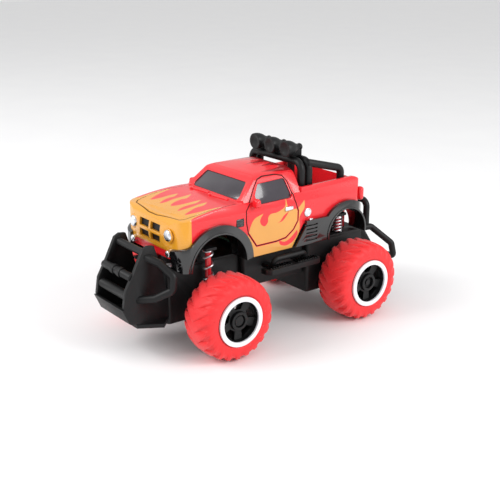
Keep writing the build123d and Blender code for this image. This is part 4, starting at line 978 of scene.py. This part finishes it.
class PICKUP_OT_chassis(bpy.types.Operator):
    """Chassis, running gear and what is inside"""

    bl_idname = "pickup.chassis"
    bl_label = "Chassis"

    def execute(self, context):
        softened("chassis_tub", 0.3, "black_satin")
        softened("chassis_deck", 0.25, "black_satin")
        for node in sorted(SLOTS):
            if not frame["nodes"][node].hide_render:
                # Axles, whose ends sit in the hub recesses, get the black rim finish in place of steel:
                # painted shade for the dark recess.
                shade_painted_axle = "axle" in node and "gear" not in node
                painted(node, "rim_black" if shade_painted_axle else SLOTS[node])
        return {"FINISHED"}


CAMERA_PLACE = (373.2, -286.7, 197.3)
CAMERA_TARGET = (0.0, -0.63, 38.2)
CAMERA_LENS = 64.6
FLOOR_WIDTH = 6.0
SKY_STRENGTH = 0.75


def area_light(name, size, power, place, target):
    """Square soft light aimed at a point."""
    bpy.ops.object.light_add(type="AREA", location=place)
    lamp = bpy.context.object
    lamp.name = name
    lamp.data.size = size
    lamp.data.energy = power
    lamp.rotation_mode = "QUATERNION"
    lamp.rotation_quaternion = (Vector(target) - Vector(place)).to_track_quat("-Z", "Y")
    return lamp


class PICKUP_OT_stage(bpy.types.Operator):
    """Floor, lights and camera"""

    bl_idname = "pickup.stage"
    bl_label = "Stage"

    def execute(self, context):
        bpy.ops.object.select_all(action="DESELECT")
        bpy.ops.mesh.primitive_plane_add(size=FLOOR_WIDTH)
        floor = context.object
        floor.name = "studio_floor"
        floor.data.materials.append(pale_floor("studio_floor"))
        world = bpy.data.worlds.new("studio")
        world.use_nodes = True
        sky = world.node_tree.nodes["Background"]
        sky.inputs["Color"].default_value = (1.0, 1.0, 1.0, 1.0)
        sky.inputs["Strength"].default_value = SKY_STRENGTH
        context.scene.world = world
        context.scene.view_settings.view_transform = "Standard"
        middle = (0, 0, 0.04)
        area_light("key", 0.6, 7.5, (-0.35, -0.8, 0.7), middle)
        area_light("side", 0.5, 6.0, (0.85, 0.35, 0.55), middle)
        target = Vector(CAMERA_TARGET) * MM
        place = Vector(CAMERA_PLACE) * MM
        camera = linked("camera", bpy.data.cameras.new("camera"))
        camera.location = place
        camera.rotation_mode = "QUATERNION"
        camera.rotation_quaternion = (target - place).to_track_quat("-Z", "Y")
        camera.data.lens = CAMERA_LENS
        camera.data.sensor_width = 36.0
        camera.data.clip_start = 0.01
        context.scene.camera = camera
        return {"FINISHED"}


class PICKUP_PT_panel(bpy.types.Panel):
    """Buttons that build the pickup"""

    bl_label = "Pickup"
    bl_idname = "PICKUP_PT_panel"
    bl_space_type = "VIEW_3D"
    bl_region_type = "UI"
    bl_category = "Pickup"

    def draw(self, context):
        for group in (context.scene.pickup_paint, context.scene.pickup_shape):
            for name in group.__annotations__:
                self.layout.prop(group, name)
        for operator in OPERATORS:
            self.layout.operator(operator.bl_idname)


OPERATORS = (
    PICKUP_OT_body,
    PICKUP_OT_body_trim,
    PICKUP_OT_trim,
    PICKUP_OT_wheels,
    PICKUP_OT_suspension,
    PICKUP_OT_chassis,
    PICKUP_OT_stage,
)
CLASSES = (PickupPaint, PickupShape, *OPERATORS, PICKUP_PT_panel)


def register():
    for item in CLASSES:
        bpy.utils.register_class(item)
    bpy.types.Scene.pickup_paint = bpy.props.PointerProperty(type=PickupPaint)
    bpy.types.Scene.pickup_shape = bpy.props.PointerProperty(type=PickupShape)


def unregister():
    del bpy.types.Scene.pickup_shape
    del bpy.types.Scene.pickup_paint
    for item in reversed(CLASSES):
        bpy.utils.unregister_class(item)


def main():
    register()
    for operator in OPERATORS:
        group, name = operator.bl_idname.split(".")
        getattr(getattr(bpy.ops, group), name)()


if __name__ == "__main__":
    main()
